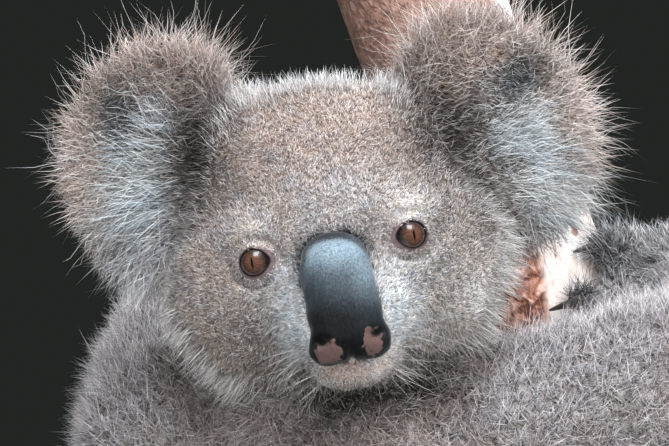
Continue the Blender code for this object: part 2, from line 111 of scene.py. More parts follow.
# %% [markdown]
# The camera comes next, since it decides how fine each part has to be. It stands a metre and a half
# in front of the face, level with the brow, with a long lens that takes in the head, the shoulders
# and one hand. The lamps are large and soft. One high on the right is the key, two in front and on
# the left fill its shadows, one behind lights the edge of the fluff, and two above shine in the
# nose and the eyes. The room round them is nearly black.

# %% Camera, room and lamps
CAMERA_PLACE = Vector((0.0006, -1.545, 0.0109))  # from the head's middle
AIM = Vector((0.03, 0, -0.05))  # what the lamps face, from the head's middle
LAMPS = [  # name, place from the head's middle, size, power, colour, whether it shows in the eyes
    ("key_lamp", (0.45, -1.2, 1.25), 1.1, 53, (0.97, 0.985, 1.0), False),
    ("front_lamp", (0.9, -2.0, 0.25), 1.5, 36, (1.0, 0.99, 0.97), False),
    ("fill_lamp", (-1.4, -1.5, 0.2), 1.6, 20, (0.95, 0.97, 1.0), False),
    ("back_lamp", (0.3, 1.5, 1.5), 1.2, 90, (1.0, 1.0, 1.0), True),
    ("sky_lamp", (0.1, -0.9, 1.6), 1.6, 8, (0.9, 0.96, 1.0), True),
    ("glint_lamp", (-0.05, -0.75, 1.35), 0.75, 15, (0.88, 0.94, 1.0), True),
]


def add_camera():
    data = bpy.data.cameras.new("camera")
    data.sensor_width = 36
    data.lens = 192.2
    data.clip_start = 0.05
    data.clip_end = 60
    camera = bpy.data.objects.new("camera", data)
    camera.location = HEAD + CAMERA_PLACE
    camera.rotation_euler = (math.radians(90), 0, 0)
    bpy.context.scene.collection.objects.link(camera)
    bpy.context.scene.camera = camera


def add_lamp(name, place, size, power, colour, shines):
    data = bpy.data.lights.new(name, "AREA")
    data.shape = "SQUARE"
    data.size = size
    data.energy = power
    data.color = colour
    lamp = bpy.data.objects.new(name, data)
    lamp.location = HEAD + Vector(place)
    lamp.rotation_euler = (HEAD + AIM - lamp.location).to_track_quat("-Z", "Y").to_euler()
    lamp.visible_glossy = shines
    bpy.context.scene.collection.objects.link(lamp)


add_camera()
for lamp_row in LAMPS:
    add_lamp(*lamp_row)
room = bpy.data.worlds.new("room")
room.use_nodes = True
room.node_tree.nodes["Background"].inputs["Color"].default_value = (0.016, 0.019, 0.017, 1)
room.node_tree.nodes["Background"].inputs["Strength"].default_value = 1.0
bpy.context.scene.world = room
bpy.context.scene.view_settings.view_transform = "Standard"
print("camera and", len(bpy.data.lights), "lamps")

# %% [markdown]
# A few small helpers keep the rest short. An operator acts on all that is selected, so `only` clears
# the selection first. `editing` opens an object in edit mode and closes it again. `applied` adds one
# modifier and applies it, as you would by hand.


# %% Helpers for modelling
def only(*objects):
    """Selects these objects and nothing else, and makes the first of them active."""
    bpy.ops.object.select_all(action="DESELECT")
    for obj in objects:
        obj.select_set(True)
    bpy.context.view_layer.objects.active = objects[0]


@contextmanager
def editing(obj, action="SELECT"):
    """Edit mode on one object, with all of it selected, or none of it for DESELECT."""
    only(obj)
    bpy.ops.object.mode_set(mode="EDIT")
    bpy.ops.mesh.select_all(action=action)
    yield
    bpy.ops.object.mode_set(mode="OBJECT")


def added(operator, **settings):
    """The object that one of Blender's add operators makes, the only one selected."""
    bpy.ops.object.select_all(action="DESELECT")
    operator(**settings)
    return bpy.context.active_object


def applied(obj, kind, **settings):
    """Adds a modifier with these settings and applies it."""
    only(obj)
    modifier = obj.modifiers.new(kind.lower(), kind)
    for name, value in settings.items():
        setattr(modifier, name, value)
    bpy.ops.object.modifier_apply(modifier=modifier.name)


def smooth_shaded(obj):
    only(obj)
    bpy.ops.object.shade_smooth()


def joined(objects, name):
    """Joins objects into the first one and names it."""
    only(*objects)
    bpy.ops.object.join()
    whole = bpy.context.view_layer.objects.active
    whole.name = name
    whole.data.name = name
    return whole


def copy_of(nodes, name):
    """One new mesh with the shapes of these CAD nodes, their loose triangles merged."""
    copies = []
    for node in nodes:
        copy = bpy.data.objects.new(node + "_copy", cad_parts[node].data.copy())
        copy.data.materials.clear()
        bpy.context.scene.collection.objects.link(copy)
        copies.append(copy)
    whole = joined(copies, name)
    with editing(whole):
        bpy.ops.mesh.remove_doubles(threshold=1e-6)
    return whole


# %% [markdown]
# Fur is grown from arrays of numbers, one row for each point of a mesh. These helpers read such an
# array from a mesh and write it back, and give the soft steps and soft spots that mark places.


# %% Helpers for arrays
def read(items, name, columns, kind=np.float32):
    """One property of many items as an array with this many columns."""
    values = np.empty(len(items) * columns, kind)
    items.foreach_get(name, values)
    return values.reshape(-1, columns)


def places_of(obj):
    return read(obj.data.vertices, "co", 3).astype(float)


def normals_of(obj):
    return read(obj.data.vertex_normals, "vector", 3).astype(float)


def edges_of(obj):
    return read(obj.data.edges, "vertices", 2, np.int32)


def corners_of(obj):
    """The vertex at each corner of each face, one face after another."""
    return read(obj.data.loops, "vertex_index", 1, np.int32).ravel()


def move_to(obj, places):
    """Puts the vertices of a mesh at these places."""
    obj.data.vertices.foreach_set("co", np.asarray(places, np.float32).ravel())
    obj.data.update()


def write_number(obj, name, values):
    """Stores one number for each vertex, for the materials to read."""
    put = obj.data.attributes.new(name, "FLOAT", "POINT")
    put.data.foreach_set("value", np.asarray(values, np.float32))


def write_coat(obj, colours):
    """Stores the coat's colour for each vertex."""
    rgba = np.ones((len(colours), 4), np.float32)
    rgba[:, :3] = colours
    put = obj.data.attributes.new("coat", "FLOAT_COLOR", "POINT")
    put.data.foreach_set("color", rgba.ravel())


def spread(values, edges, rounds):
    """Averages values over neighbouring vertices, so that they change smoothly over a surface."""
    a, b = edges.T
    count = np.bincount(a, minlength=len(values)) + np.bincount(b, minlength=len(values))
    values = np.array(values, float).reshape(len(count), -1)
    for _ in range(rounds):
        for column in range(values.shape[1]):
            v = values[:, column]
            total = np.bincount(a, v[b], len(count)) + np.bincount(b, v[a], len(count))
            values[:, column] = 0.5 * v + 0.5 * total / np.maximum(count, 1)
    return values


def smoothstep(low, high, x):
    """0 below low, 1 above high, and a soft rise between."""
    t = np.clip((np.asarray(x, float) - low) / (high - low), 0, 1)
    return t * t * (3 - 2 * t)


def bell(x):
    """1 where x is 0, falling away softly on both sides."""
    return np.exp(-(x**2))


def zone_share(across, up, place, reach):
    """1 in the middle of a zone, falling away softly."""
    return bell(np.hypot((across - place[0]) / reach[0], (up - place[1]) / reach[1]))


def unit(vectors):
    return vectors / np.maximum(np.linalg.norm(vectors, axis=-1, keepdims=True), 1e-12)


def far_from(points, spot):
    """How far each point is from a spot in the room, in millimetres."""
    return np.linalg.norm(points - np.array(spot), axis=1) / MM


def kind_of(node):
    """The part of the body that a node belongs to, which is the first word of its name."""
    return node.split("_")[0]


DEPTHS = {"head": 5.5, "neck": 6.5, "chest": 7, "belly": 9, "upper": 6, "forearm": 5.5, "hand": 2.4,
          "thigh": 9, "shank": 8, "foot": 2.5}  # how deep the coat is, in millimetres
FLESH = [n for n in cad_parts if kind_of(n) in DEPTHS]
CLAWS = [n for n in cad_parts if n.startswith("claw")]
EARS = {1: "ear_left", -1: "ear_right"}
print(len(FLESH), "nodes of flesh and", len(CLAWS), "claws")

# %% [markdown]
# ## The skin
#
# A real koala has one skin with no seams, and the coat stands on it. The CAD solids show the coat's
# outline, so the skin is their fused shape drawn inwards by the depth of the fur: 9 mm on the belly
# and thighs, 3 mm on the face and 2.5 mm on the hands and feet. A voxel remesh is the quick way to
# fuse many closed solids into one, and it closes the thin cuts between them. Each point then moves in
# along its own normal. The depth comes from the CAD node that lies nearest, spread out so that it
# changes softly.

# %% Fuse the solids
VOXEL = 2.3 * MM
skin = copy_of(FLESH + ["nose"], "skin")
applied(skin, "DISPLACE", strength=0.3 * MM, mid_level=0)
applied(skin, "REMESH", mode="VOXEL", voxel_size=VOXEL)
applied(skin, "SMOOTH", factor=0.5, iterations=10)
print("fused skin", len(skin.data.vertices), "points")

# %% Which CAD node each point of the skin belongs to
NODE_TREE = KDTree(sum(len(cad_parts[n].data.vertices) for n in FLESH))
NODE_OF = []
for node_name in FLESH:
    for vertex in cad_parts[node_name].data.vertices:
        NODE_TREE.insert(vertex.co, len(NODE_OF))
        NODE_OF.append(node_name)
NODE_TREE.balance()


def nearest_nodes(points):
    """The name of the CAD node nearest to each point."""
    return np.array([NODE_OF[NODE_TREE.find(point)[1]] for point in points])


print("searching among", len(NODE_OF), "CAD points")

# %% [markdown]
# The CAD nose is the furred one. The bare pad in its front is a little narrower, with an outline
# like a rounded rectangle. The coat is shallow round the eyes and on the chin, and the skin lies deep
# behind the pad, so that it never shows through.

# %% The nose pad's outline, the chin's fold and the depth of the coat
PAD_WIDTHS = {  # heights in head millimetres, and the pad's width there as a share of the CAD nose's
    1: ((-50, -36, -20, -10, 0, 8), (0.93, 0.96, 0.91, 0.94, 0.95, 0.9)),
    -1: ((-50, -36, -20, -12, 0, 8), (0.93, 0.91, 0.92, 0.98, 1.03, 1.0)),
}
PAD_MIDDLE, PAD_REACH, PAD_SQUARENESS = (0.4, -20.5), (16.8, 28.0), 2.8
PAD_SIZE = 17  # turns a share of the outline into millimetres
CHIN_MIDDLE, CHIN_REACH = (1.5, -50.5), (21, 12.2)


def slimming(head):
    """How wide the bare pad is, as a share of the CAD nose's width."""
    left, right = (np.interp(head[:, 2], *PAD_WIDTHS[side]) for side in (1, -1))
    return np.where(head[:, 0] > 0, left, right)


def slimmed(head):
    return head * np.stack([slimming(head), np.ones(len(head)), np.ones(len(head))], 1)


def past_nose_pad(head):
    """How far each point of the face is outside the nose pad's outline, in millimetres."""
    across = abs(head[:, 0] / slimming(head) - PAD_MIDDLE[0]) / PAD_REACH[0]
    up = abs(head[:, 2] - PAD_MIDDLE[1]) / PAD_REACH[1]
    out = (across**PAD_SQUARENESS + up**PAD_SQUARENESS) ** (1 / PAD_SQUARENESS)
    return (out - 1) * PAD_SIZE


def chin_crease(head):
    """1 along the fold that sets the chin apart from the cheeks, and 0 away from it."""
    out = np.hypot((head[:, 0] - CHIN_MIDDLE[0]) / CHIN_REACH[0],
                   (head[:, 2] - CHIN_MIDDLE[1]) / CHIN_REACH[1])
    return bell((out - 1.12) / 0.14) * smoothstep(-43, -47, head[:, 2]) * (head[:, 1] > 25)


def coat_depth(points, nodes):
    """How far the skin lies below the coat's tips, in millimetres."""
    depth = np.array([DEPTHS[kind_of(node)] for node in nodes], float)
    head = to_head(points)
    across, ahead, up = head.T
    on_head = nodes == "head"
    goals = [
        (3.2, smoothstep(-4, 24, ahead) * on_head),  # the face
        (2.2, smoothstep(54, 66, ahead) * on_head),  # the muzzle
        (1.2, zone_share(across, up, (0, -53), (26, 13)) * (ahead > 30) * on_head),  # the chin
        (7, smoothstep(0.5, -3, past_nose_pad(head)) * (ahead > 35)),  # behind the pad
    ]
    goals += [(1.9, 1 - smoothstep(10, 19, far_from(points, eye))) for eye in EYES.values()]
    for goal, share in goals:
        depth = depth + (goal - depth) * share
    return depth


# %% [markdown]
# The ear is a thin cup of gristle that stands up from the side of the head, and nearly all of its
# size is fluff. We add a sphere at its place, flatten it in edit mode, and press its front in. Then
# it is joined to the rest before a second remesh, which makes ear and head one skin.

# %% The cups of the ears
EAR_CUP = (40, 6.5, 50)  # half its width, thickness and height, in millimetres
EAR_TURN = EAR_LEAN = math.radians(16)
EAR_SHIFT = (-7.0, 2, -4)  # from the fluff's middle: the cup sits nearer the head
SKYWARD = np.array([0, 0, 1.0])


def ear_axes(side):
    """Rows: outwards from the head, out of the cup's mouth, and up to the tip of the ear."""
    out = np.array([side * math.cos(EAR_TURN), -math.sin(EAR_TURN), 0])
    mouth = np.array([side * math.sin(EAR_TURN), math.cos(EAR_TURN), 0])
    lean_up = SKYWARD * math.cos(EAR_LEAN) - out * math.sin(EAR_LEAN)
    lean_out = out * math.cos(EAR_LEAN) + SKYWARD * math.sin(EAR_LEAN)
    return np.array([lean_out, mouth, lean_up])


def ear_middle(side):
    """The middle of the cup, in head millimetres."""
    return to_head(centre_of(EARS[side])) + np.array([side, 1, 1]) * EAR_SHIFT


def to_ear(points, side):
    """Places as out, forward and up from the cup's middle, in millimetres."""
    return (to_head(points) - ear_middle(side)) @ ear_axes(side).T


def out_on_cup(places):
    """How far out on the cup each place is: 0 in its middle and 1 on its rim."""
    return np.hypot(places[:, 0] / EAR_CUP[0], places[:, 2] / EAR_CUP[2])


def ear_share(points, side):
    """1 on the cup of one ear and 0 off it."""
    place = to_ear(points, side)
    near = (out_on_cup(place) < 1.15) * (place[:, 1] < 22) * (place[:, 1] > -16)
    return near * smoothstep(-34, -26, place[:, 0])


def add_ear(side):
    ear = added(bpy.ops.mesh.primitive_uv_sphere_add, segments=48, ring_count=24, radius=1)
    with editing(ear):
        bpy.ops.transform.resize(value=EAR_CUP)
    places = places_of(ear)
    places[:, 1] += 9 * out_on_cup(places) ** 2 - 5  # the rim curls forward
    places[:, 1] += 4 * smoothstep(0.2, -0.9, places[:, 0] / EAR_CUP[0])  # and most by the head
    move_to(ear, from_head(places @ ear_axes(side) + ear_middle(side)))
    return ear


# %% Draw the skin in by the depth of the coat
points = places_of(skin)
nodes = nearest_nodes(points)
depth = spread(coat_depth(points, nodes), edges_of(skin), 10)
depth[:, 0] += 3.5 * chin_crease(to_head(points)) * (nodes == "head")
inward = unit(spread(normals_of(skin), edges_of(skin), 4))
move_to(skin, points - inward * depth * MM)
skin = joined([skin, add_ear(1), add_ear(-1)], "skin")
applied(skin, "REMESH", mode="VOXEL", voxel_size=VOXEL)
applied(skin, "SMOOTH", factor=0.5, iterations=5)
print("drawn-in skin", len(skin.data.vertices), "points")

# %% [markdown]
# A remesh spends as many faces on the flank as on the eyelids. Decimate thins them, and a vertex
# group keeps the face and the ears fine.


# %% Thin the skin, except on the face
def keep_fine(obj):
    points = places_of(obj)
    head = to_head(points)
    near = smoothstep(110, 90, np.linalg.norm(head, axis=1))
    fine = 0.85 * smoothstep(-60, 10, head[:, 1]) * near
    for side in (1, -1):
        fine = np.maximum(fine, ear_share(points, side))
    group = obj.vertex_groups.new(name="coarse")
    for index, weight in enumerate(1 - fine):
        group.add([index], weight, "REPLACE")


keep_fine(skin)
applied(skin, "DECIMATE", ratio=0.4, vertex_group="coarse", use_collapse_triangulate=True)
skin.vertex_groups.clear()
print("thinned skin", len(skin.data.polygons), "triangles")

# %% [markdown]
# ## Eyelids
#
# The lids are rings round the eye's own axis: a wet edge that lies on the ball, a swollen bare rim,
# a crease and a slope down to the fur. A circle is added at the edge and extruded outwards ring by
# ring. Then a round hole is cut in the skin, and the gap is bridged, so lids and face are one skin.

# %% The eye's own axes, and its opening
OPENING = (5.9, 5.6)  # half the width and the height of the open eye, in millimetres
CORNER = 0.8  # how far the inner corner runs out past the oval
LOOK = (0.24, 0.96, 0.02)  # where the left eye looks, in the head's axes


def eye_axes(side):
    """Rows, in the head's axes: towards the temple, up, and out along the eye's line of sight."""
    look = unit(np.array([side, 1, 1]) * LOOK)
    temple = unit(np.cross(look, SKYWARD)) * side
    return np.array([temple, unit(SKYWARD - look * look[2]), look])


def to_eye(points, side):
    """Places as temple-wards, up and forward of the eyeball's middle, in millimetres."""
    return (to_head(points) - to_head(EYES[side])) @ eye_axes(side).T


def from_eye(places, side):
    return from_head(np.asarray(places, float) @ eye_axes(side) + to_head(EYES[side]))


def off_axis(eye):
    """How far places are from the eye's line of sight, in millimetres."""
    return np.hypot(eye[:, 0], eye[:, 1])


def round_eye(eye):
    """The angle round the line of sight: 0 towards the temple, a quarter turn upwards."""
    return np.arctan2(eye[:, 1], eye[:, 0])


def opening_radius(angle):
    """The edge of the open eye: an oval with a small point at the inner corner."""
    wide, high = OPENING
    oval = wide * high / np.hypot(high * np.cos(angle), wide * np.sin(angle))
    return oval + CORNER * np.exp(-(np.cos(angle) + 1) / 0.10)


# %% Lids
LID_RINGS = [  # how far outside the opening each ring is, and how far off the ball
    (0.2, -0.9), (0.0, 0.12), (0.4, 0.5), (1.0, 0.55), (1.9, 0.15), (3.6, -0.7), (5.4, -2.1)]
LID_POINTS = 48
RING_STEP = 1.2  # each ring's size as a share of the last, until it is put in place
CREASE_RING = 3
HOLE = 12.6  # the radius of the hole in the skin, in millimetres


def add_lids(side):
    lids = added(bpy.ops.mesh.primitive_circle_add, vertices=LID_POINTS, radius=1)
    with editing(lids):
        for _ in LID_RINGS[1:]:
            bpy.ops.mesh.extrude_region_move()
            bpy.ops.transform.resize(value=(RING_STEP, RING_STEP, RING_STEP))
    places = places_of(lids)
    angle = round_eye(places)
    ring = np.rint(np.log(off_axis(places)) / math.log(RING_STEP)).astype(int)
    beyond, lift = np.array(LID_RINGS).T
    edge = opening_radius(angle)
    out = edge + beyond[ring]
    ball = EYE_RADIUS / MM
    on_ball = np.sqrt(ball**2 - np.minimum(edge + 0.4 * np.minimum(beyond[ring], 2), ball - 0.3) ** 2)
    fold = 0.35 * bell((np.sin(angle) - 0.9) / 0.5) * (ring == CREASE_RING)
    high = on_ball + lift[ring] + fold
    move_to(lids, from_eye(np.stack([out * np.cos(angle), out * np.sin(angle), high], 1), side))
    return lids


def open_skin(side):
    """Cuts a round hole in the skin in front of the eye."""
    eye = to_eye(places_of(skin), side)
    with editing(skin, "DESELECT"):
        pass  # so that only the points chosen next are selected
    skin.data.vertices.foreach_set("select", (off_axis(eye) < HOLE) & (eye[:, 2] > -6))
    bpy.ops.object.mode_set(mode="EDIT")
    bpy.ops.mesh.delete(type="VERT")
    bpy.ops.object.mode_set(mode="OBJECT")


def bridge_lids(side):
    """Bridges the hole's edge to the outermost ring of the lids."""
    with editing(skin, "DESELECT"):
        bpy.ops.mesh.select_mode(type="EDGE")
        mesh = bmesh.from_edit_mesh(skin.data)
        eye = to_eye([v.co for v in mesh.verts], side)
        near = (off_axis(eye) > 8.5) & (off_axis(eye) < 20) & (eye[:, 2] > -14)
        for edge in mesh.edges:
            if edge.is_boundary and all(near[v.index] for v in edge.verts):
                edge.select = True
        bmesh.update_edit_mesh(skin.data)
        bpy.ops.mesh.bridge_edge_loops()


for side in (1, -1):
    open_skin(side)
    skin = joined([skin, add_lids(side)], "skin")
    bridge_lids(side)
with editing(skin):
    bpy.ops.mesh.quads_convert_to_tris()
    bpy.ops.mesh.normals_make_consistent(inside=False)
print("skin with lids", len(skin.data.polygons), "triangles")

# %% [markdown]
# ## Colours
#
# Colours are named as a painter would name them, on the usual scale of 0 to 255, and are turned into
# the linear values that a shader works with. The koala's markings are soft zones on the head, each a
# place, a size and a colour, and one colour for each part of the body. Some zones are not markings
# but painted shade, where the ears, the chin and the head shade the coat, and a few are painted light.
# Both the skin and the fur ask the same function, so they always agree.


# %% The colours of the body and the face
def paint(red, green, blue):
    """A colour on the 0 to 255 scale as linear light."""
    value = np.array([red, green, blue], float) / 255
    return np.where(value <= 0.04045, value / 12.92, ((value + 0.055) / 1.055) ** 2.4)


BODY_COLOURS = {
    "head": paint(166, 156, 151), "neck": paint(150, 141, 139), "chest": paint(158, 147, 144),
    "belly": paint(142, 133, 130), "upper": paint(162, 157, 159), "forearm": paint(186, 184, 186),
    "hand": paint(178, 177, 179), "thigh": paint(148, 140, 137), "shank": paint(150, 143, 140),
    "foot": paint(108, 103, 101),
}
FACE_ZONES = [  # place across and up, reach across and up, colour, strength
    ("crown", (8, 64), (54, 22), paint(170, 154, 147), 0.9),
    ("forehead", (5, 40), (48, 20), paint(172, 156, 149), 0.9),
    ("above the nose", (4, 18), (22, 12), paint(186, 184, 187), 0.85),
    ("temples", (-58, 22), (16, 22), paint(160, 149, 144), 0.8),
    ("right cheek", (-52, -6), (16, 18), paint(158, 146, 140), 0.9),
    ("right lower cheek", (-40, -30), (15, 13), paint(118, 109, 103), 0.9),
    # the jowl: darker brown fur, partly painted shade beside the chin
    ("right jowl", (-33, -46), (12, 9), paint(104, 92, 84), 0.92),
    ("right cheek's edge", (-72, -18), (9, 22), paint(184, 178, 175), 0.8),
    ("beside the nose, right", (-20, -25), (10, 20), paint(222, 231, 238), 0.92),
    ("under the right eye", (-36, -13), (12, 6), paint(176, 170, 168), 0.8),
    ("left cheek", (48, -10), (16, 20), paint(160, 155, 153), 0.9),
    ("left lower cheek", (44, -34), (16, 12), paint(168, 163, 160), 0.9),
    ("left cheek's edge", (72, -25), (8, 16), paint(238, 237, 237), 0.92),
    ("beside the nose, left", (22, -29), (10, 19), paint(218, 226, 232), 0.95),
    ("left of the lip", (16, -46), (7, 6), paint(238, 238, 240), 0.9),
    ("under the left eye", (32, -15), (11, 6), paint(170, 168, 168), 0.85),
    ("right brow", (-35, 12.5), (8, 4.5), paint(214, 211, 210), 0.9),
    ("left brow", (35, 12), (10, 5.5), paint(246, 242, 240), 0.95),
    ("left jaw's edge", (50, -50), (12, 8), paint(210, 206, 204), 0.85),
    ("left cheek's lower edge", (61, -36), (9, 14), paint(230, 228, 228), 0.85),
    ("outside the left eye", (50, 6), (8, 8), paint(136, 130, 127), 0.85),
    ("behind the left eye", (66, 0), (9, 12), paint(110, 103, 98), 0.88),
    # painted shade where the ears meet the head: the next three zones
    ("inside the right ear's root", (-36, 62), (8, 10), paint(96, 86, 81), 0.85),
    ("right ear's root", (-47, 48), (10, 16), paint(76, 67, 63), 0.85),
    ("left ear's root", (50, 44), (15, 26), paint(54, 48, 46), 0.92),
    ("left jaw's shade", (31, -55), (9, 7), paint(64, 58, 55), 0.9),
    # the chin: pale fur, darkened on its left and middle as painted shade, with painted light on its lit
    # side
    ("chin", (2, -54), (18.5, 9.5), paint(182, 174, 170), 0.97),
    ("chin's lit side", (9.5, -51.5), (7, 6.5), paint(226, 220, 217), 0.9),
    # painted shade in the fold beside the chin
    ("fold beside the chin", (-26, -56), (10, 6), paint(58, 51, 47), 0.85),
    ("lip", (0, -50.5), (13, 2.5), paint(176, 142, 134), 0.6),
]
NOSE_RIM = paint(56, 58, 64)
# painted shade in the fold round the chin
CHIN_FOLD_SHADE = paint(62, 54, 50)
NEAR_HAND = paint(104, 106, 112)
BY_A_CLAW = paint(84, 87, 93)
# painted shade under the chin, on the throat and the chest
THROAT_SHADE = paint(40, 37, 37)
# painted light on the body just below the head, lifting the shade that the head casts there
SHOULDER_PAINTED_LIGHT = paint(200, 191, 187)
SHOULDER_PAINTED_LIGHT_SPOTS = [((-62, -78), (22, 16)), ((18, -88), (14, 8))]  # place and reach
print(len(BODY_COLOURS), "colours of the body and", len(FACE_ZONES), "zones of the face")

# %% The colours of the ears
EAR_ZONES = [  # place outwards and up, reach, colour, strength, only the cup's mouth, only one side
    ("middle", (6, -8), (20, 20), paint(164, 174, 180), 0.9, 1, 0),
    ("lobe", (4, -38), (30, 17), paint(172, 174, 176), 0.9, 0, 0),
    ("left lobe's shade", (-9, -38), (14, 13), paint(96, 89, 84), 0.9, 0, 1),
    ("left ear's brown half", (-1, 7), (13, 15), paint(108, 102, 98), 0.88, 1, 1),
    ("outer rim", (36, 4), (14, 40), paint(208, 191, 183), 0.95, 0, 0),
    ("upper rim", (-1, 42), (42, 19), paint(176, 154, 144), 0.95, 0, 0),
    ("shaded half", (-10, 8), (18, 28), paint(112, 104, 101), 0.6, 1, 0),
    ("inner side", (-20, 6), (15, 27), paint(54, 48, 45), 0.94, 1, 0),
    # painted shade in the fold of the left ear: the next two zones
    ("left ear's fold", (-8, -15), (9, 5), paint(92, 86, 84), 0.85, 1, 1),
    ("left ear's fold, outer end", (5, -20), (9, 5), paint(92, 86, 84), 0.85, 1, 1),
    ("left ear's pale rim", (19, 31), (18, 9), paint(216, 198, 190), 0.85, 0, 1),
    ("right lobe's shade", (12, -36), (11, 8), paint(92, 86, 84), 0.85, 0, -1),
    ("right ear's pale rim", (27, 39), (15, 12), paint(216, 192, 180), 0.85, 0, -1),
]
# painted shade in the hollow of each cup, where little light gets in
EAR_HOLLOW_SHADE = paint(86, 88, 91)
HOLLOWS = {1: ((20, 15), (14, 11)), -1: ((19, 21), (10, 15))}  # each cup's dark hollow: place, reach
print(len(EAR_ZONES), "zones of the ears")

# %% [markdown]
# The dabs of colour go on in order, each over the ones before, as a painter would lay them: first the
# body, then the face with its painted shade, the dark rim of the nose, painted shade in the chin's
# fold, the hand and the claws, painted shade under the chin, painted light on the chest and the
# shoulders below the head, and last the ears with painted shade in their hollows.


# %% The koala's markings, with painted light and shade
def markings_and_painted_light(points, normals, nodes):
    """The coat's colour at each point, in linear light, with painted shade and painted light in it."""
    colour = np.array([BODY_COLOURS[kind_of(node)] for node in nodes])
    head = to_head(points)
    across, ahead, up = head.T
    on_head = nodes == "head"

    def dab(tint, share):
        nonlocal colour
        colour = colour + (tint - colour) * share[:, None]

    front = smoothstep(-25, 5, ahead) * on_head
    for _, place, reach, tint, strength in FACE_ZONES:
        dab(tint, strength * front * zone_share(across, up, place, reach))
    rim = smoothstep(2.9, 1.2, past_nose_pad(head) + 1.1 * smoothstep(0, 8, up))
    rim = rim * smoothstep(-14, -4, up) * front * (ahead > 35)
    dab(NOSE_RIM, 0.95 * (rim * (1 - 0.6 * bell((across + 1) / 4))))
    # Painted shade in the fold that sets the chin apart from the cheeks.
    dab(CHIN_FOLD_SHADE, 0.9 * chin_crease(head) * on_head)
    dab(NEAR_HAND, 0.8 * (nodes == "hand_right"))
    for claw in CLAWS:
        dab(BY_A_CLAW, 0.75 * smoothstep(21, 10, far_from(points, centre_of(claw))))
    # Painted shade under the chin: a dark band over the throat and the chest below the head.
    throat_shade = smoothstep(-52, -62, up) * smoothstep(-80, -64, up)
    throat_shade = throat_shade * smoothstep(42, 20, abs(across - 9)) * (ahead > -15)
    dab(THROAT_SHADE, 0.95 * throat_shade * np.isin(nodes, ("neck", "chest", "head")))
    # Painted light on the body below the head, which lifts the head's shadow there.
    for spot in SHOULDER_PAINTED_LIGHT_SPOTS:
        dab(SHOULDER_PAINTED_LIGHT, 0.8 * zone_share(across, up, *spot) * ~on_head)
    for side in (1, -1):
        place = to_ear(points, side)
        on_ear = ear_share(points, side)
        mouth = smoothstep(-0.2, 0.3, normals @ (ear_axes(side)[1] @ AXES))
        for _, spot, reach, tint, strength, only_mouth, only_side in EAR_ZONES:
            share = strength * on_ear * zone_share(place[:, 0], place[:, 2], spot, reach)
            dab(tint, share * (only_side in (0, side)) * (mouth if only_mouth else 1))
        # Painted shade in the hollow of each cup.
        hollow = zone_share(place[:, 0], place[:, 2], *HOLLOWS[side])
        dab(EAR_HOLLOW_SHADE, on_ear * mouth * np.minimum(1.4 * hollow, 1))
    return colour


# %% [markdown]
# ## The lie of the coat
#
# Fur lies in streams. On the face it runs away from the nose, round each eye it parts, on the trunk
# it runs from the neck to the rump, and on each limb from the body to the digits. We work out that
# direction for every point of the skin, flatten it onto the surface, and average it over neighbours
# so that the streams join smoothly where two parts meet.

# %% The lie of the coat at every point of the skin
STREAMS = {  # for each part, the node that its fur runs away from, and the one that it runs to
    "head": ("neck", "belly_and_rump"), "neck": ("neck", "belly_and_rump"),
    "chest": ("neck", "belly_and_rump"), "belly": ("neck", "belly_and_rump"),
    "upper": ("upper_arm", "hand"), "forearm": ("upper_arm", "hand"), "hand": ("forearm", "hand"),
    "thigh": ("thigh", "foot"), "shank": ("thigh", "foot"), "foot": ("shank", "foot"),
}


def stream_of(node):
    """The way the fur lies on one CAD node, in the room."""
    ends = STREAMS[kind_of(node)]
    if kind_of(node) not in ("head", "neck", "chest", "belly"):
        ends = [f"{end}_{node.rsplit('_', 1)[-1]}" for end in ends]
    start, end = (np.array(centre_of(n)) for n in ends)
    return end - start


def flattened(vectors, normals):
    """Vectors laid flat on a surface with these normals, at unit length."""
    return unit(vectors - normals * np.sum(vectors * normals, axis=1, keepdims=True))


def lie_of_coat(points, normals, nodes, edges):
    streams = {node: unit(stream_of(node)) for node in FLESH}
    lie = np.array([streams[node] for node in nodes])
    head = to_head(points)
    from_nose = unit((head - np.array([0, 0, -30])) * np.array([1, 0, 1]) + np.array([0, -12, 0]))
    down_back = np.array([0, -0.4, -1.0])
    behind = smoothstep(5, -30, head[:, 1])[:, None]
    on_head = (from_nose * (1 - behind) + down_back * behind) @ AXES
    lie = np.where((nodes == "head")[:, None], on_head, lie)
    for side in (1, -1):
        eye = to_eye(points, side)
        near = (smoothstep(22, 9, off_axis(eye)) * (eye[:, 2] > -15) * 0.9)[:, None]
        lie = lie * (1 - near) + unit(points - np.array(EYES[side])) * near
    return flattened(spread(flattened(lie, normals), edges, 8), normals)


def steady(corners, lid_start):
    """The same triangles, with those of the lids in an order that never changes.

    Blender numbers the triangles of a bridge in another order each time, but the fur's random
    numbers need one that stays. The points of the lids are the last ones, from lid_start on.
    """
    on_lids = corners.max(axis=1) >= lid_start
    lids = corners[on_lids]
    turn = (lids.argmin(axis=1)[:, None] + np.arange(3)) % 3
    lids = np.take_along_axis(lids, turn, axis=1)
    corners[on_lids] = lids[np.lexsort(lids.T)]
    return corners


SKIN = {"points": places_of(skin), "normals": normals_of(skin), "edges": edges_of(skin)}
LID_START = len(SKIN["points"]) - 2 * LID_POINTS * len(LID_RINGS)
SKIN["corners"] = steady(corners_of(skin).reshape(-1, 3), LID_START)
SKIN["nodes"] = nearest_nodes(SKIN["points"])
SKIN["depth"] = spread(coat_depth(SKIN["points"], SKIN["nodes"]), SKIN["edges"], 6)[:, 0]
SKIN["lie"] = lie_of_coat(SKIN["points"], SKIN["normals"], SKIN["nodes"], SKIN["edges"])
SKIN["colour"] = spread(markings_and_painted_light(SKIN["points"], SKIN["normals"], SKIN["nodes"]), SKIN["edges"], 2)
SKIN["ear"] = {side: ear_share(SKIN["points"], side) for side in (1, -1)}
print("depth of coat", SKIN["depth"].min().round(1), "to", SKIN["depth"].max().round(1), "mm")

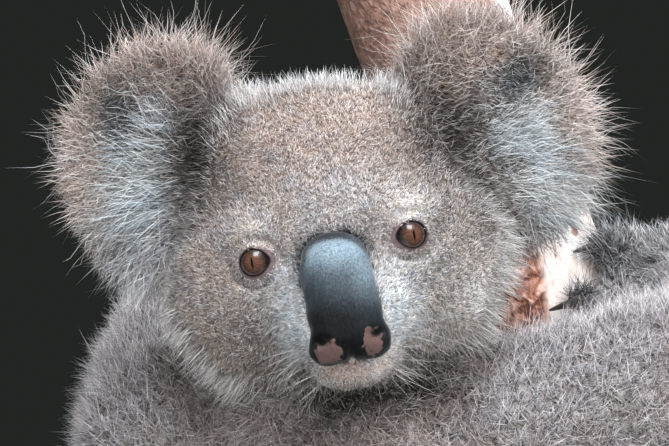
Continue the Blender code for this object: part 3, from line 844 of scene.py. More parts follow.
# %% [markdown]
# ## Locks of fur
#
# Each lock is a small closed spike with three sides, so that it exports as plain mesh. The fur of
# the body and the face is straight spikes of four triangles, the fluff of the ears and the whiskers
# bend over three lengths, and the longest stray hairs over four. A hundred thousand objects would
# stop Blender, so the corners of all locks are worked out together in arrays and written into one
# mesh. A lock remembers how far each point is from its root, its own colour, and the place of its
# root on an unwrap of the skin.

# %% Write many locks as one mesh
PATCH = 0.003  # the size of a lock's own patch on the unwrap
SUNK = 0.3  # how deep a root sits in the skin, in millimetres


def written_mesh(name, places, faces):
    """A mesh from arrays of places and triangles."""
    mesh = bpy.data.meshes.new(name)
    mesh.vertices.add(len(places))
    mesh.vertices.foreach_set("co", np.asarray(places, np.float32).ravel())
    mesh.loops.add(len(faces) * 3)
    mesh.loops.foreach_set("vertex_index", np.asarray(faces, np.int32).ravel())
    mesh.polygons.add(len(faces))
    mesh.polygons.foreach_set("loop_start", np.arange(0, len(faces) * 3, 3, dtype=np.int32))
    mesh.polygons.foreach_set("use_smooth", np.ones(len(faces), bool))
    mesh.update(calc_edges=True)
    obj = bpy.data.objects.new(name, mesh)
    bpy.context.scene.collection.objects.link(obj)
    return obj


def lock_faces(lengths):
    """The triangles of one lock: rings of three points, then the tip."""
    faces = [(0, 2, 1)]
    for n in range(lengths - 1):
        for k in range(3):
            m = (k + 1) % 3
            a, b, c, d = 3 * n + k, 3 * n + m, 3 * n + 3 + m, 3 * n + 3 + k
            faces += [(a, b, c), (a, c, d)]
    last = 3 * (lengths - 1)
    return np.array(faces + [(last + k, last + (k + 1) % 3, 3 * lengths) for k in range(3)])


def write_locks(name, locks, lengths, rng):
    """One mesh of locks, from arrays with one row for each lock.

    root is a place, way the direction it starts in, bend is added with the square of the way along,
    curl makes a wave along it, and size, width, colour and unwrap say the rest.
    """
    root, way, bend, curl = (locks[k] for k in ("root", "way", "bend", "curl"))
    size, width = locks["size"][:, None], locks["width"][:, None]
    count = len(root)
    side = unit(np.cross(way, rng.normal(size=(count, 3))))
    other = np.cross(way, side)
    points_each = 3 * lengths + 1
    places = np.empty((count, points_each, 3))
    along = np.empty(points_each)
    patch = np.empty((points_each, 2))

    def middle(t):
        return root + (way * t + bend * t * t + curl * math.sin(5.2 * t)) * size

    for n in range(lengths):
        t = n / lengths
        for k in range(3):
            turn = 2 * math.pi * k / 3
            spoke = side * math.cos(turn) + other * math.sin(turn)
            places[:, 3 * n + k] = middle(t) + spoke * (0.5 * width * (1 - 0.7 * t**1.6))
            along[3 * n + k] = t
            patch[3 * n + k] = (k / 2 - 0.5, t - 0.5)
    places[:, -1] = middle(1)
    along[-1] = 1
    patch[-1] = (0, 0.5)
    faces = lock_faces(lengths)[None] + np.arange(count)[:, None, None] * points_each
    obj = written_mesh(name, places.reshape(-1, 3), faces.reshape(-1, 3))
    write_number(obj, "along", np.tile(along, count))
    write_coat(obj, np.repeat(locks["colour"], points_each, axis=0))
    flat = (locks["unwrap"][:, None, :] + patch[None] * PATCH).reshape(-1, 2)
    layer = obj.data.uv_layers.new(name="OFBake")
    layer.data.foreach_set("uv", flat[faces.ravel()].astype(np.float32).ravel())
    print(name, count, "locks,", len(obj.data.polygons), "triangles")
    return obj


def gathered(locks, each, share, rng):
    """Draws the tips of neighbouring locks together, so that they stand in small clumps."""
    roots, size = locks["root"], locks["size"][:, None]
    chiefs = rng.choice(len(roots), max(1, len(roots) // each), replace=False)
    tree = KDTree(len(chiefs))
    for n, chief in enumerate(chiefs):
        tree.insert(roots[chief], n)
    tree.balance()
    chief = chiefs[[tree.find(root)[1] for root in roots]]
    tips = roots + (locks["way"] + locks["bend"]) * size
    locks["bend"] = locks["bend"] + (tips[chief] - tips) / size * share
    locks["curl"] = locks["curl"] + (locks["curl"][chief] - locks["curl"]) * share


# %% Unwrap a part of the skin, and plant roots over it
def unwrap_of(corners):
    """An unwrap of these triangles of the skin that fills the square, as three places each."""
    used, again = np.unique(corners.ravel(), return_inverse=True)
    patch = written_mesh("unwrap", SKIN["points"][used], again.reshape(-1, 3))
    with editing(patch):
        bpy.ops.uv.smart_project(angle_limit=math.radians(72), island_margin=0.002)
    flat = read(patch.data.uv_layers.active.data, "uv", 2).reshape(-1, 3, 2).astype(float)
    bpy.data.objects.remove(patch)
    return flat


def plant(weight, count, rng):
    """Roots over the skin. weight, for each of its points, is how dense the coat is there."""
    corners = SKIN["corners"]
    a, b, c = (SKIN["points"][corners[:, k]] for k in range(3))
    area = np.linalg.norm(np.cross(b - a, c - a), axis=1) / 2
    share = area * weight[corners].mean(axis=1)
    used = np.flatnonzero(share > 0)
    unwrap = unwrap_of(corners[used])
    total = np.cumsum(share[used])
    print("planting", round(count / total[-1] * MM * MM, 2), "per square millimetre", end=": ")
    pick = np.searchsorted(total, rng.random(count) * total[-1])
    r = np.sqrt(rng.random(count))
    s = rng.random(count)
    mix = np.stack([1 - r, r * (1 - s), r * s], 1)
    bed = {k: np.einsum("nk,nk...->n...", mix, SKIN[k][corners[used][pick]])
           for k in ("points", "normals", "lie", "depth", "colour")}
    bed["normals"] = unit(bed["normals"])
    bed["lie"] = flattened(bed["lie"], bed["normals"])
    bed["unwrap"] = np.einsum("nk,nkd->nd", mix, unwrap[pick])
    return bed


# %% [markdown]
# Hairs of three kinds make the pepper-and-salt of a koala: most have the zone's own colour, some are
# dark all through and some have a pale tip. A slow wave over the body turns the locks a little one
# way and then the other, which gives the woolly look.

# %% Uneven colour and direction
DARK_BELOW, PALE_ABOVE = 0.29, 0.74  # the share of dark hairs, and of dark and plain ones together
PALE_HAIR = np.array([0.86, 0.85, 0.84])
BROWNER = np.array([1, 0, -1.2])


def wave(points, size, seed):
    """A smooth random value between about -1 and 1 that changes over `size` metres."""
    rng = np.random.default_rng(seed)
    value = np.zeros(len(points))
    for _ in range(7):
        way = unit(rng.normal(size=3)) * 2 * math.pi / size * rng.uniform(0.6, 1.6)
        value += np.sin(points @ way + rng.uniform(0, 7))
    return value / 2.6


def hair_colours(colours, rng, contrast):
    """Splits one colour into dark, plain and pale hairs."""
    kind = rng.random(len(colours))[:, None]
    plain = colours * (1 + contrast * (rng.random((len(colours), 1)) - 0.5) * 0.7)
    dark = colours * (1 - 0.78 * contrast)
    faint = 0.5 + 0.5 * smoothstep(0.03, 0.17, colours.mean(axis=1))[:, None]
    pale = colours + (PALE_HAIR - colours) * 0.62 * contrast * faint
    chosen = np.where(kind < DARK_BELOW, dark, np.where(kind > PALE_ABOVE, pale, plain))
    return np.clip(chosen, 0.004, 0.95)


def mottled(colours, points, seed):
    """Uneven colour: browner and greyer, lighter and darker patches a few millimetres wide."""
    light = 1 + 0.09 * wave(points, 0.005, seed) + 0.08 * wave(points, 0.022, seed + 1)
    warm = 0.035 * wave(points, 0.012, seed + 2) + 0.03 * wave(points, 0.004, seed + 3)
    return colours * light[:, None] * (1 + warm[:, None] * BROWNER)


# %% Where no fur grows
def shape_tree(obj):
    return BVHTree.FromObject(obj, bpy.context.evaluated_depsgraph_get())


nose_shape = copy_of(["nose"], "nose_shape")
move_to(nose_shape, from_head(slimmed(to_head(places_of(nose_shape)))))
NOSE_TREE = shape_tree(nose_shape)
PERCH_TREE = shape_tree(copy_of(["perch_limb"], "perch_shape"))


def depth_inside(tree, point):
    """How far a point is inside a closed shape, in metres. Outside it is below zero."""
    near, normal, _, distance = tree.find_nearest(Vector(point))
    if distance > 12 * MM:
        return -distance
    return math.copysign(distance, (near - Vector(point)).dot(normal))


def bare_width(angle):
    """How wide the bare rim of the lids is: narrow above, wide below and at the inner corner."""
    return 0.5 + 0.7 * smoothstep(0.2, -0.6, np.sin(angle)) + 1.2 * smoothstep(-0.5, -1, np.cos(angle))


def clear_of_all(locks):
    """Which locks stand clear of the nose, the bare lids and the limb."""
    roots = locks["root"]
    good = np.ones(len(roots), bool)
    across, ahead, up = to_head(roots).T
    for n in np.flatnonzero((ahead > 40) & (abs(across) < 26) & (up < 16)):
        good[n] = depth_inside(NOSE_TREE, roots[n]) < (0.5 if up[n] < -18 else -0.1) * MM
    for side in (1, -1):
        eye = to_eye(roots, side)
        angle = round_eye(eye)
        bare = opening_radius(angle) + bare_width(angle)
        good &= ~((off_axis(eye) < bare) & (eye[:, 2] > -4))
    tips = roots + locks["way"] * locks["size"][:, None] * 0.8
    for n in np.flatnonzero((ahead < 30) & good):
        good[n] = depth_inside(PERCH_TREE, tips[n]) < 0.5 * MM and depth_inside(PERCH_TREE, roots[n]) < 0
    return good


# %% [markdown]
# ## Fur and skin materials
#
# A hair is dark and dull at its root, where little light comes in, and clear at its tip. The node
# group turns a lock's own colour and the way along it into that shade. The fur and the skin both use
# it, the skin as if it were mostly root.


# %% Short ways to make nodes
def new_material(name, roughness=0.5, metallic=0.0):
    material = bpy.data.materials.new(name)
    material.use_nodes = True
    shader = material.node_tree.nodes["Principled BSDF"]
    shader.inputs["Roughness"].default_value = roughness
    shader.inputs["Metallic"].default_value = metallic
    return material, material.node_tree, shader


def plug(tree, socket, value):
    """Gives a socket a number, a colour or a link."""
    if isinstance(value, bpy.types.NodeSocket):
        tree.links.new(value, socket)
    elif isinstance(value, (int, float)):
        socket.default_value = value if socket.type == "VALUE" else (value, value, value, 1)
    else:
        socket.default_value = (*[float(v) for v in value[:3]], 1)


def calc(tree, operation, a, b=0.0):
    """A Math node."""
    node = tree.nodes.new("ShaderNodeMath")
    node.operation = operation
    plug(tree, node.inputs[0], a)
    plug(tree, node.inputs[1], b)
    return node.outputs[0]


def times(tree, a, b):
    return calc(tree, "MULTIPLY", a, b)


def plus(tree, a, b):
    return calc(tree, "ADD", a, b)


def minus(tree, a, b):
    return calc(tree, "SUBTRACT", a, b)


def ramp(tree, value, low, high):
    """0 below low, 1 above high, and a soft rise between."""
    node = tree.nodes.new("ShaderNodeMapRange")
    node.interpolation_type = "SMOOTHSTEP"
    plug(tree, node.inputs["Value"], value)
    node.inputs["From Min"].default_value = low
    node.inputs["From Max"].default_value = high
    return node.outputs["Result"]


def blend(tree, factor, a, b, how="MIX"):
    """A colour Mix node."""
    node = tree.nodes.new("ShaderNodeMix")
    node.data_type = "RGBA"
    node.blend_type = how
    for socket, value in ((node.inputs[0], factor), (node.inputs[6], a), (node.inputs[7], b)):
        plug(tree, socket, value)
    return node.outputs[2]


def object_place(tree):
    return tree.nodes.new("ShaderNodeTexCoord").outputs["Object"]


def drawn_out(tree, up):
    """Places on the object, flattened so that patterns come out long and upright."""
    node = tree.nodes.new("ShaderNodeMapping")
    node.inputs["Scale"].default_value = (1, 1, up)
    tree.links.new(object_place(tree), node.inputs["Vector"])
    return node.outputs["Vector"]


def noise(tree, vector, scale, detail=2.0, roughness=0.5, out="Fac"):
    node = tree.nodes.new("ShaderNodeTexNoise")
    node.inputs["Scale"].default_value = scale
    node.inputs["Detail"].default_value = detail
    node.inputs["Roughness"].default_value = roughness
    tree.links.new(vector, node.inputs["Vector"])
    return node.outputs[out]


def cells(tree, vector, scale):
    """How far each place is from the middle of the nearest of many small cells."""
    node = tree.nodes.new("ShaderNodeTexVoronoi")
    node.inputs["Scale"].default_value = scale
    tree.links.new(vector, node.inputs["Vector"])
    return node.outputs["Distance"]


def attribute(tree, name, out="Fac"):
    node = tree.nodes.new("ShaderNodeAttribute")
    node.attribute_name = name
    return node.outputs[out]


def add_bump(tree, shader, height, strength, distance):
    node = tree.nodes.new("ShaderNodeBump")
    node.inputs["Strength"].default_value = strength
    node.inputs["Distance"].default_value = distance
    plug(tree, node.inputs["Height"], height)
    tree.links.new(node.outputs["Normal"], shader.inputs["Normal"])


# %% The node group for the shade of fur, and the fur and skin
ROOT_SHADE, TIP_SHADE = (0.5, 0.44, 0.4), (1.22, 1.25, 1.28)
EAR_ROOT_SHADE, EAR_TIP_SHADE = (0.5, 0.45, 0.42), (1.2, 1.23, 1.26)
SKIN_DARK, SKIN_LIGHT = (0.3, 0.27, 0.25), (1.05, 1.02, 1.0)


def fur_shade():
    """A group: a hair's colour and the way along it in, its shade and roughness out."""
    group = bpy.data.node_groups.new("fur shade", "ShaderNodeTree")
    for name in ("Colour", "Root", "Tip"):
        group.interface.new_socket(name, in_out="INPUT", socket_type="NodeSocketColor")
    group.interface.new_socket("Along", in_out="INPUT", socket_type="NodeSocketFloat")
    group.interface.new_socket("Colour", in_out="OUTPUT", socket_type="NodeSocketColor")
    group.interface.new_socket("Roughness", in_out="OUTPUT", socket_type="NodeSocketFloat")
    start = group.nodes.new("NodeGroupInput").outputs
    end = group.nodes.new("NodeGroupOutput").inputs
    eased = calc(group, "POWER", start["Along"], 0.7)
    level = blend(group, eased, start["Root"], start["Tip"])
    group.links.new(blend(group, 1.0, start["Colour"], level, "MULTIPLY"), end["Colour"])
    group.links.new(minus(group, 0.9, times(group, eased, 0.2)), end["Roughness"])
    return group


FUR_SHADE = fur_shade()


def shaded(tree, colour, along, root, tip):
    node = tree.nodes.new("ShaderNodeGroup")
    node.node_tree = FUR_SHADE
    for name, value in (("Colour", colour), ("Along", along), ("Root", root), ("Tip", tip)):
        plug(tree, node.inputs[name], value)
    return node.outputs


def fur_material(name, root, tip):
    material, tree, shader = new_material(name)
    shade = shaded(tree, attribute(tree, "coat", "Color"), attribute(tree, "along"), root, tip)
    tree.links.new(shade["Colour"], shader.inputs["Base Color"])
    tree.links.new(shade["Roughness"], shader.inputs["Roughness"])
    shader.inputs["Specular IOR Level"].default_value = 0.25
    return material


def skin_material():
    """Dark undercoat where fur grows, and bare mauve skin round the eyes."""
    material, tree, shader = new_material("skin", 0.7)
    place = object_place(tree)
    speckle = ramp(tree, noise(tree, place, 1300, 4, 0.65), 0.34, 0.68)
    coat = attribute(tree, "coat", "Color")
    under = shaded(tree, coat, times(tree, speckle, 0.75), SKIN_DARK, SKIN_LIGHT)["Colour"]
    mauve = blend(tree, noise(tree, place, 500, 2), paint(66, 54, 58), paint(116, 98, 102))
    colour = blend(tree, attribute(tree, "bare"), under, mauve)
    wet = attribute(tree, "wet")
    tree.links.new(blend(tree, wet, colour, paint(30, 20, 20)), shader.inputs["Base Color"])
    plug(tree, shader.inputs["Roughness"], minus(tree, 0.75, times(tree, wet, 0.5)))
    add_bump(tree, shader, speckle, 0.4, 0.0006)
    return material


FUR = fur_material("koala fur", ROOT_SHADE, TIP_SHADE)
EAR_FUR = fur_material("koala ear fur", EAR_ROOT_SHADE, EAR_TIP_SHADE)
SKIN_FINISH = skin_material()
print("materials", [m.name for m in (FUR, EAR_FUR, SKIN_FINISH)])


# %% Finish the skin
def finished(piece, material, slot, *nodes):
    """Gives a piece its material and its body, and hides the CAD nodes it stands for. slot is not used."""
    piece.data.materials.clear()
    piece.data.materials.append(material)
    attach(piece, "root")
    if nodes:
        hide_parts(*nodes)
    return piece


def lid_masks():
    """Where the skin is bare round the eyes, and where it is wet."""
    bare = np.zeros(len(SKIN["points"]))
    wet = np.zeros(len(SKIN["points"]))
    for side in (1, -1):
        eye = to_eye(SKIN["points"], side)
        angle = round_eye(eye)
        out = off_axis(eye) - opening_radius(angle)
        front = eye[:, 2] > -3
        bare = np.maximum(bare, smoothstep(1.8, 0.4, out - bare_width(angle)) * front)
        wet = np.maximum(wet, smoothstep(0.7, 0.3, out) * front)
    return bare, wet


bare, wet = lid_masks()
write_number(skin, "bare", bare)
write_number(skin, "wet", wet)
write_coat(skin, SKIN["colour"])
smooth_shaded(skin)
finished(skin, SKIN_FINISH, "coat", *FLESH, *EARS.values())
print("bare round the eyes", (bare > 0.5).sum(), "points")

# %% [markdown]
# ## The coat, piece by piece
#
# The head has the finest fur, so it gets the most locks. Each piece stays below two hundred thousand
# triangles. Density follows the part of the body, and locks that would grow on the nose, on the
# lids or into the limb are left out.


# %% Grow the locks of one region
def lengthened(roots, nodes):
    """How much longer the fur grows near these nodes: half as long again beside them."""
    near = np.min([far_from(roots, centre_of(n)) for n in nodes], axis=0)
    return 1 + 0.5 * smoothstep(24, 11, near)


def grow(name, weight, count, width, lift, loose, curl, contrast, clump, seed, long=1.0, longest=()):
    """One finished piece of the coat.

    width is in millimetres, lift in degrees from the skin, loose is how much the locks stray from
    the lie of the coat, curl how much each one bends, and clump how far their tips are drawn together.
    long stretches them all, and longest names nodes near which they grow longer still.
    """
    rng = np.random.default_rng(seed)
    bed = plant(weight, count, rng)
    roots, normals = bed["points"], bed["normals"]
    across = np.cross(normals, bed["lie"])
    swing = (0.55 * wave(roots, 0.014, seed + 50) + 0.35 * wave(roots, 0.05, seed + 51)) * loose
    swing = (swing + rng.normal(size=count) * 0.55 * loose)[:, None]
    lie = unit(bed["lie"] * np.cos(swing) + across * np.sin(swing))
    rise = np.radians(lift * (1 + 0.28 * rng.normal(size=count)).clip(0.3, 1.5))[:, None]
    locks = {"root": roots - normals * SUNK * MM, "unwrap": bed["unwrap"]}
    locks["way"] = unit(lie * np.cos(rise) + normals * np.sin(rise))
    locks["bend"] = lie * 0.22 - normals * 0.16 + rng.normal(size=(count, 3)) * curl
    locks["curl"] = np.cross(locks["way"], rng.normal(size=(count, 3))) * curl * 0.3
    upright = bed["depth"] * MM / math.sin(math.radians(lift))
    locks["size"] = upright * rng.uniform(0.72, 1.16, count) * long
    locks["size"] *= 1 + 0.1 * wave(roots, 0.009, seed + 52)
    if longest:
        locks["size"] *= lengthened(roots, longest)
    locks["width"] = width * MM * rng.uniform(0.7, 1.25, count)
    locks["colour"] = hair_colours(mottled(bed["colour"], roots, 5), rng, contrast)
    good = clear_of_all(locks)
    locks = {k: v[good] for k, v in locks.items()}
    gathered(locks, 9, clump, rng)
    return finished(write_locks(name, locks, 1, rng), FUR, "coat")


# %% Regions of the skin
ACROSS_HEAD, AHEAD, UP_HEAD = to_head(SKIN["points"]).T
ON_HEAD = (SKIN["nodes"] == "head") * (1 - np.clip(SKIN["ear"][1] + SKIN["ear"][-1], 0, 1))
IN_FRONT = smoothstep(-22, -8, AHEAD)
DIGITS = np.array([kind_of(n) in ("hand", "foot") for n in SKIN["nodes"]])
NEAR_HAND_SKIN = SKIN["nodes"] == "hand_right"
BODY = (1 - DIGITS) * (SKIN["nodes"] != "head")
SHOULDERS = smoothstep(-0.135, -0.098, SKIN["points"][:, 2] - HEAD.z)
SHOULDERS = SHOULDERS * smoothstep(0.6, 0.3, SKIN["normals"][:, 1])
RIGHT_HALF = SKIN["points"][:, 0] < HEAD.x

density = 1 + 1.2 * smoothstep(30, 45, AHEAD)
density += 2.2 * zone_share(ACROSS_HEAD, UP_HEAD, (0, -53), (22, 10))
for side in (1, -1):
    density += 2.0 * smoothstep(20, 13, far_from(SKIN["points"], EYES[side]))
FACE = ON_HEAD * IN_FRONT * density
print("skin of the head", int((ON_HEAD > 0.5).sum()), "points, of the body", int((BODY > 0.5).sum()))

# %% The fur of the head and of the body
COAT = [  # name, where, locks, width, lift, loose, curl, contrast, clump, seed, long
    ("fur_face_right", FACE * (ACROSS_HEAD < 0), 49800, 0.35, 60, 1.9, 0.16, 0.8, 0.25, 10, 0.95),
    ("fur_face_left", FACE * (ACROSS_HEAD >= 0), 49800, 0.35, 60, 1.9, 0.16, 0.8, 0.25, 11, 0.95),
    ("fur_back_of_head", ON_HEAD * (1 - IN_FRONT), 12000, 0.9, 50, 0.8, 0.2, 0.6, 0.3, 20),
    ("fur_shoulders_1", BODY * SHOULDERS * RIGHT_HALF, 46000, 0.44, 46, 3.0, 0.6, 0.5, 0.3, 30),
    ("fur_shoulders_2", BODY * SHOULDERS * ~RIGHT_HALF, 46000, 0.44, 46, 3.0, 0.6, 0.5, 0.3, 31),
    ("fur_body", BODY * (1.03 - SHOULDERS), 30000, 1.5, 50, 1.2, 0.2, 0.6, 0.4, 40),
    ("fur_hands_and_feet", DIGITS * (1 - NEAR_HAND_SKIN), 11000, 0.9, 38, 0.9, 0.3, 0.8, 0.3, 41, 1.5),
    ("fur_near_hand", NEAR_HAND_SKIN * 1.0, 11500, 0.42, 38, 1.2, 0.5, 0.7, 0.4, 42, 1.9,
     [n for n in CLAWS if "hand_right" in n]),
]
for region in COAT:
    grow(*region)

# %% [markdown]
# ## The ears
#
# Nearly all of a koala's ear is fluff. Woolly fur stands out from the rim and the back of the cup,
# long white strands sweep out across its mouth in a fan, and short down covers the skin between. A
# lock's length comes from where it starts: it ends near the outline that the CAD ear gives.

# %% The outline and the fan of each ear
EAR_OUTLINE = ((5, -1), (52, 64))  # the fluff's middle and reach, outwards and up, from the cup
EAR_TRIMS = {  # where the fluff is longer or shorter: place, reach, factor
    1: [((-12, 50), (34, 24), 1.5), ((42, 14), (22, 34), 1.25)],
    -1: [((32, -34), (26, 24), 0.45), ((46, -4), (14, 16), 0.75), ((-24, 44), (20, 20), 1.6)],
}
FAN_STARTS = {1: (-10, 17), -1: (-17, 34)}  # where the white strands start: outwards and up
FAN_GAPS = {  # where few of them grow: place and reach
    1: [((-2, -17), (13, 5)), ((3, 8), (12, 8))],
    -1: [((12, -36), (11, 8))],
}


def reach_of(place, way):
    """How far it is from each place to the fluff's outline, in millimetres, seen from the front."""
    middle, reach = (np.array(v) for v in EAR_OUTLINE)
    p = (place[:, [0, 2]] - middle) / reach
    d = way[:, [0, 2]] / reach
    a = np.sum(d * d, axis=1) + 1e-9
    b = np.sum(p * d, axis=1)
    c = np.sum(p * p, axis=1) - 1
    return (-b + np.sqrt(np.maximum(b * b - a * c, 0))) / a


def fan_of(side, place, weight):
    """How many white strands grow at each place on one cup."""
    inner, top = FAN_STARTS[side]
    weight = weight * smoothstep(inner, inner + 17, place[:, 0]) * smoothstep(24, 8, place[:, 0])
    weight = weight * smoothstep(top, top - 16, place[:, 2])
    for gap in FAN_GAPS[side]:
        weight = weight * (1 - 0.85 * zone_share(place[:, 0], place[:, 2], *gap))
    return weight


print("fluff reaches", EAR_OUTLINE[1], "mm out and up from the middle of each ear")

# %% [markdown]
# Each kind of fluff has its own function. It gets the places, the normals and the random numbers, and
# gives the way each lock starts in, its bend and curl, its length and width in millimetres, a tint
# with its strength, and how much the hairs differ. All of it is in the ear's own axes.

# %% The kinds of fluff
EAR_CENTRE = np.array([-8, 0, -6])  # the wool points away from here
FAN_CENTRE = np.array([-34, 0, -10])  # and the white strands from here
IN_PLANE = np.array([1, 0, 1])
WOOL_TINT, STRAND_TINT, STRAY_TINT = paint(200, 190, 184), paint(198, 206, 210), paint(180, 180, 178)


def wool(place, normal, rng):
    """Dense curly wool on the rim and the back, pointing out from the cup's middle."""
    count = len(place)
    top = smoothstep(5, 40, place[:, 2])[:, None] * 0.6
    way = unit((place - EAR_CENTRE) * IN_PLANE) * (1 - top) + SKYWARD * top
    way = way + normal * np.array([0.25, 0.45, 0.25])
    way[:, 0] = way[:, 0] + 0.5 * smoothstep(-20, -36, place[:, 0])
    way = unit(way + rng.normal(size=(count, 3)) * 0.3)
    size = np.clip(reach_of(place, way), 7, 18) * rng.uniform(0.45, 0.88, count)
    size = size * np.where(rng.random(count) < 0.06, 1.35, 1)
    bend = np.array([0, 0, -0.2]) + rng.normal(size=(count, 3)) * 0.5
    curl = rng.normal(size=(count, 3)) * 0.26
    return way, bend, curl, size, rng.uniform(0.2, 0.4, count), (WOOL_TINT, 0.1), 0.6


def strands(place, normal, rng):
    """Long white strands that fan out over the mouth of the cup."""
    count = len(place)
    way = unit((place - FAN_CENTRE) * IN_PLANE) + np.array([0.1, 0.4, -0.12])
    way = unit(way + rng.normal(size=(count, 3)) * 0.24)
    size = np.clip(reach_of(place, way), 10, 23) * rng.uniform(0.5, 0.95, count)
    bend = np.array([0.0, -0.3, -0.26]) + rng.normal(size=(count, 3)) * 0.38
    curl = rng.normal(size=(count, 3)) * 0.12
    return way, bend, curl, size, rng.uniform(0.2, 0.4, count), (STRAND_TINT, 0.8), 0.6


def down(place, normal, rng):
    """Short fur over the mouth of the cup."""
    count = len(place)
    way = normal + np.array([0.7, 0, -0.3]) + rng.normal(size=(count, 3)) * 0.6
    size = rng.uniform(4, 8, count)
    bend = rng.normal(size=(count, 3)) * 0.2
    return way, bend, np.zeros((count, 3)), size, rng.uniform(0.4, 0.7, count), (WOOL_TINT, 0.0), 0.6


def stray(place, normal, rng):
    """A few long wild hairs."""
    count = len(place)
    way = unit(unit(place * IN_PLANE) + normal * 0.3 + rng.normal(size=(count, 3)) * 0.35)
    size = (reach_of(place, way) + 3).clip(10, 30) * rng.uniform(0.9, 1.15, count)
    bend = rng.normal(size=(count, 3)) * 0.4
    curl = rng.normal(size=(count, 3)) * 0.15
    return way, bend, curl, size, rng.uniform(0.18, 0.32, count), (STRAY_TINT, 0.8), 0.4


# %% Fluff of the ears
LONG_FLUFF = 9  # in millimetres: shorter down may grow in the dark hollow


def ear_locks(name, side, weight, count, lengths, style, seed):
    """One finished piece of an ear's fluff, in one of the styles above."""
    rng = np.random.default_rng(seed)
    bed = plant(weight, count, rng)
    turn = AXES.T @ ear_axes(side).T
    place = to_ear(bed["points"], side)
    way, bend, curl, size, width, tint, contrast = style(place, bed["normals"] @ turn, rng)
    for spot, reach, factor in EAR_TRIMS[side]:
        size = size * (1 + (factor - 1) * zone_share(place[:, 0], place[:, 2], spot, reach))
    across = [place + unit(way) * (size * share)[:, None] for share in (0, 0.5, 0.9)]
    covered = np.max([zone_share(p[:, 0], p[:, 2], *HOLLOWS[side]) for p in across], axis=0)
    open_to_hollow = (rng.random(count) > covered) | (size < LONG_FLUFF) * (lengths == 1)
    locks = {"root": bed["points"] - bed["normals"] * SUNK * MM, "unwrap": bed["unwrap"],
             "way": unit(way) @ turn.T, "bend": bend @ turn.T, "curl": curl @ turn.T,
             "size": size * MM, "width": width * MM}
    colour = bed["colour"] + (tint[0] - bed["colour"]) * tint[1]
    locks["colour"] = hair_colours(mottled(colour, locks["root"], 9), rng, contrast)
    locks = {k: v[open_to_hollow] for k, v in locks.items()}
    gathered(locks, 8, 0.3, rng)
    return finished(write_locks(name, locks, lengths, rng), EAR_FUR, "ear_coat")


for side, name in EARS.items():
    place = to_ear(SKIN["points"], side)
    facing = SKIN["normals"] @ AXES.T @ ear_axes(side).T
    mouth = smoothstep(-0.1, 0.4, facing[:, 1])
    out = out_on_cup(place)
    on_ear = SKIN["ear"][side]
    rim = np.maximum(smoothstep(0.55, 0.8, out), 1 - mouth)
    rim = np.maximum(rim, smoothstep(22, 34, place[:, 2]))
    fan = fan_of(side, place, on_ear * mouth) * smoothstep(1.0, 0.7, out)
    ear_locks(f"fur_{name}_wool", side, on_ear * rim, 11200, 3, wool, 60 + side)
    ear_locks(f"fur_{name}_strands", side, fan, 2700, 3, strands, 64 + side)
    ear_locks(f"fur_{name}_down", side, on_ear * mouth, 6500, 1, down, 68 + side)

# %% [markdown]
# ## The eyes
#
# A ball with a slight bulge in front, as a real cornea has. The iris is drawn on a flat map that
# looks along the eye, so rings and the upright slit of the pupil are plain sums of its two numbers.

# %% Eyeballs
IRIS_MAP = 16.0  # how many millimetres the flat map of the iris spans
CORNEA = 5.2  # the radius of the bulge, in millimetres


def iris_material():
    material, tree, shader = new_material("eye", 0.25)
    uv = tree.nodes.new("ShaderNodeUVMap")
    uv.uv_map = "iris"
    apart = tree.nodes.new("ShaderNodeSeparateXYZ")
    tree.links.new(uv.outputs["UV"], apart.inputs[0])
    x, y = (times(tree, minus(tree, apart.outputs[k], 0.5), IRIS_MAP) for k in ("X", "Y"))

    def length(a, b):
        return calc(tree, "SQRT", plus(tree, times(tree, a, a), times(tree, b, b)))

    out = length(x, y)
    angle = calc(tree, "ARCTAN2", y, x)
    spokes = tree.nodes.new("ShaderNodeCombineXYZ")
    plug(tree, spokes.inputs[0], times(tree, calc(tree, "COSINE", angle), 3.0))
    plug(tree, spokes.inputs[1], times(tree, calc(tree, "SINE", angle), 3.0))
    plug(tree, spokes.inputs[2], times(tree, out, 0.12))
    streaks = noise(tree, spokes.outputs[0], 5.0, 3, 0.6)
    brown = blend(tree, ramp(tree, streaks, 0.3, 0.7), paint(48, 32, 26), paint(96, 65, 51))
    brown = blend(tree, ramp(tree, out, 2.4, 5.6), brown, paint(40, 31, 28))
    brown = blend(tree, ramp(tree, out, 5.0, 5.9), brown, paint(16, 13, 13))
    slit = length(calc(tree, "DIVIDE", x, 0.42), calc(tree, "DIVIDE", y, 2.2))
    colour = blend(tree, ramp(tree, slit, 1.5, 0.8), brown, paint(8, 7, 7))
    tree.links.new(colour, shader.inputs["Base Color"])
    shader.inputs["Coat Weight"].default_value = 1.0
    shader.inputs["Coat Roughness"].default_value = 0.03
    return material


def add_eyeball(side):
    ball = added(bpy.ops.mesh.primitive_uv_sphere_add, segments=64, ring_count=40, radius=1)
    ball.name = "eyeball_left" if side == 1 else "eyeball_right"
    smooth_shaded(ball)
    places = places_of(ball) * EYE_RADIUS / MM
    places[:, 2] += 0.45 * np.clip(1 - (off_axis(places) / CORNEA) ** 2, 0, 1) * (places[:, 2] > 0)
    flat = places[corners_of(ball)][:, :2] / IRIS_MAP + 0.5
    ball.data.uv_layers.active.name = "iris"
    ball.data.uv_layers["iris"].data.foreach_set("uv", flat.astype(np.float32).ravel())
    move_to(ball, from_eye(places, side))
    return ball


EYE_FINISH = iris_material()
for side, name in ((1, "left"), (-1, "right")):
    eyeball = finished(add_eyeball(side), EYE_FINISH, "eye", f"eye_{name}")
    print(eyeball.name, len(eyeball.data.polygons), "faces")

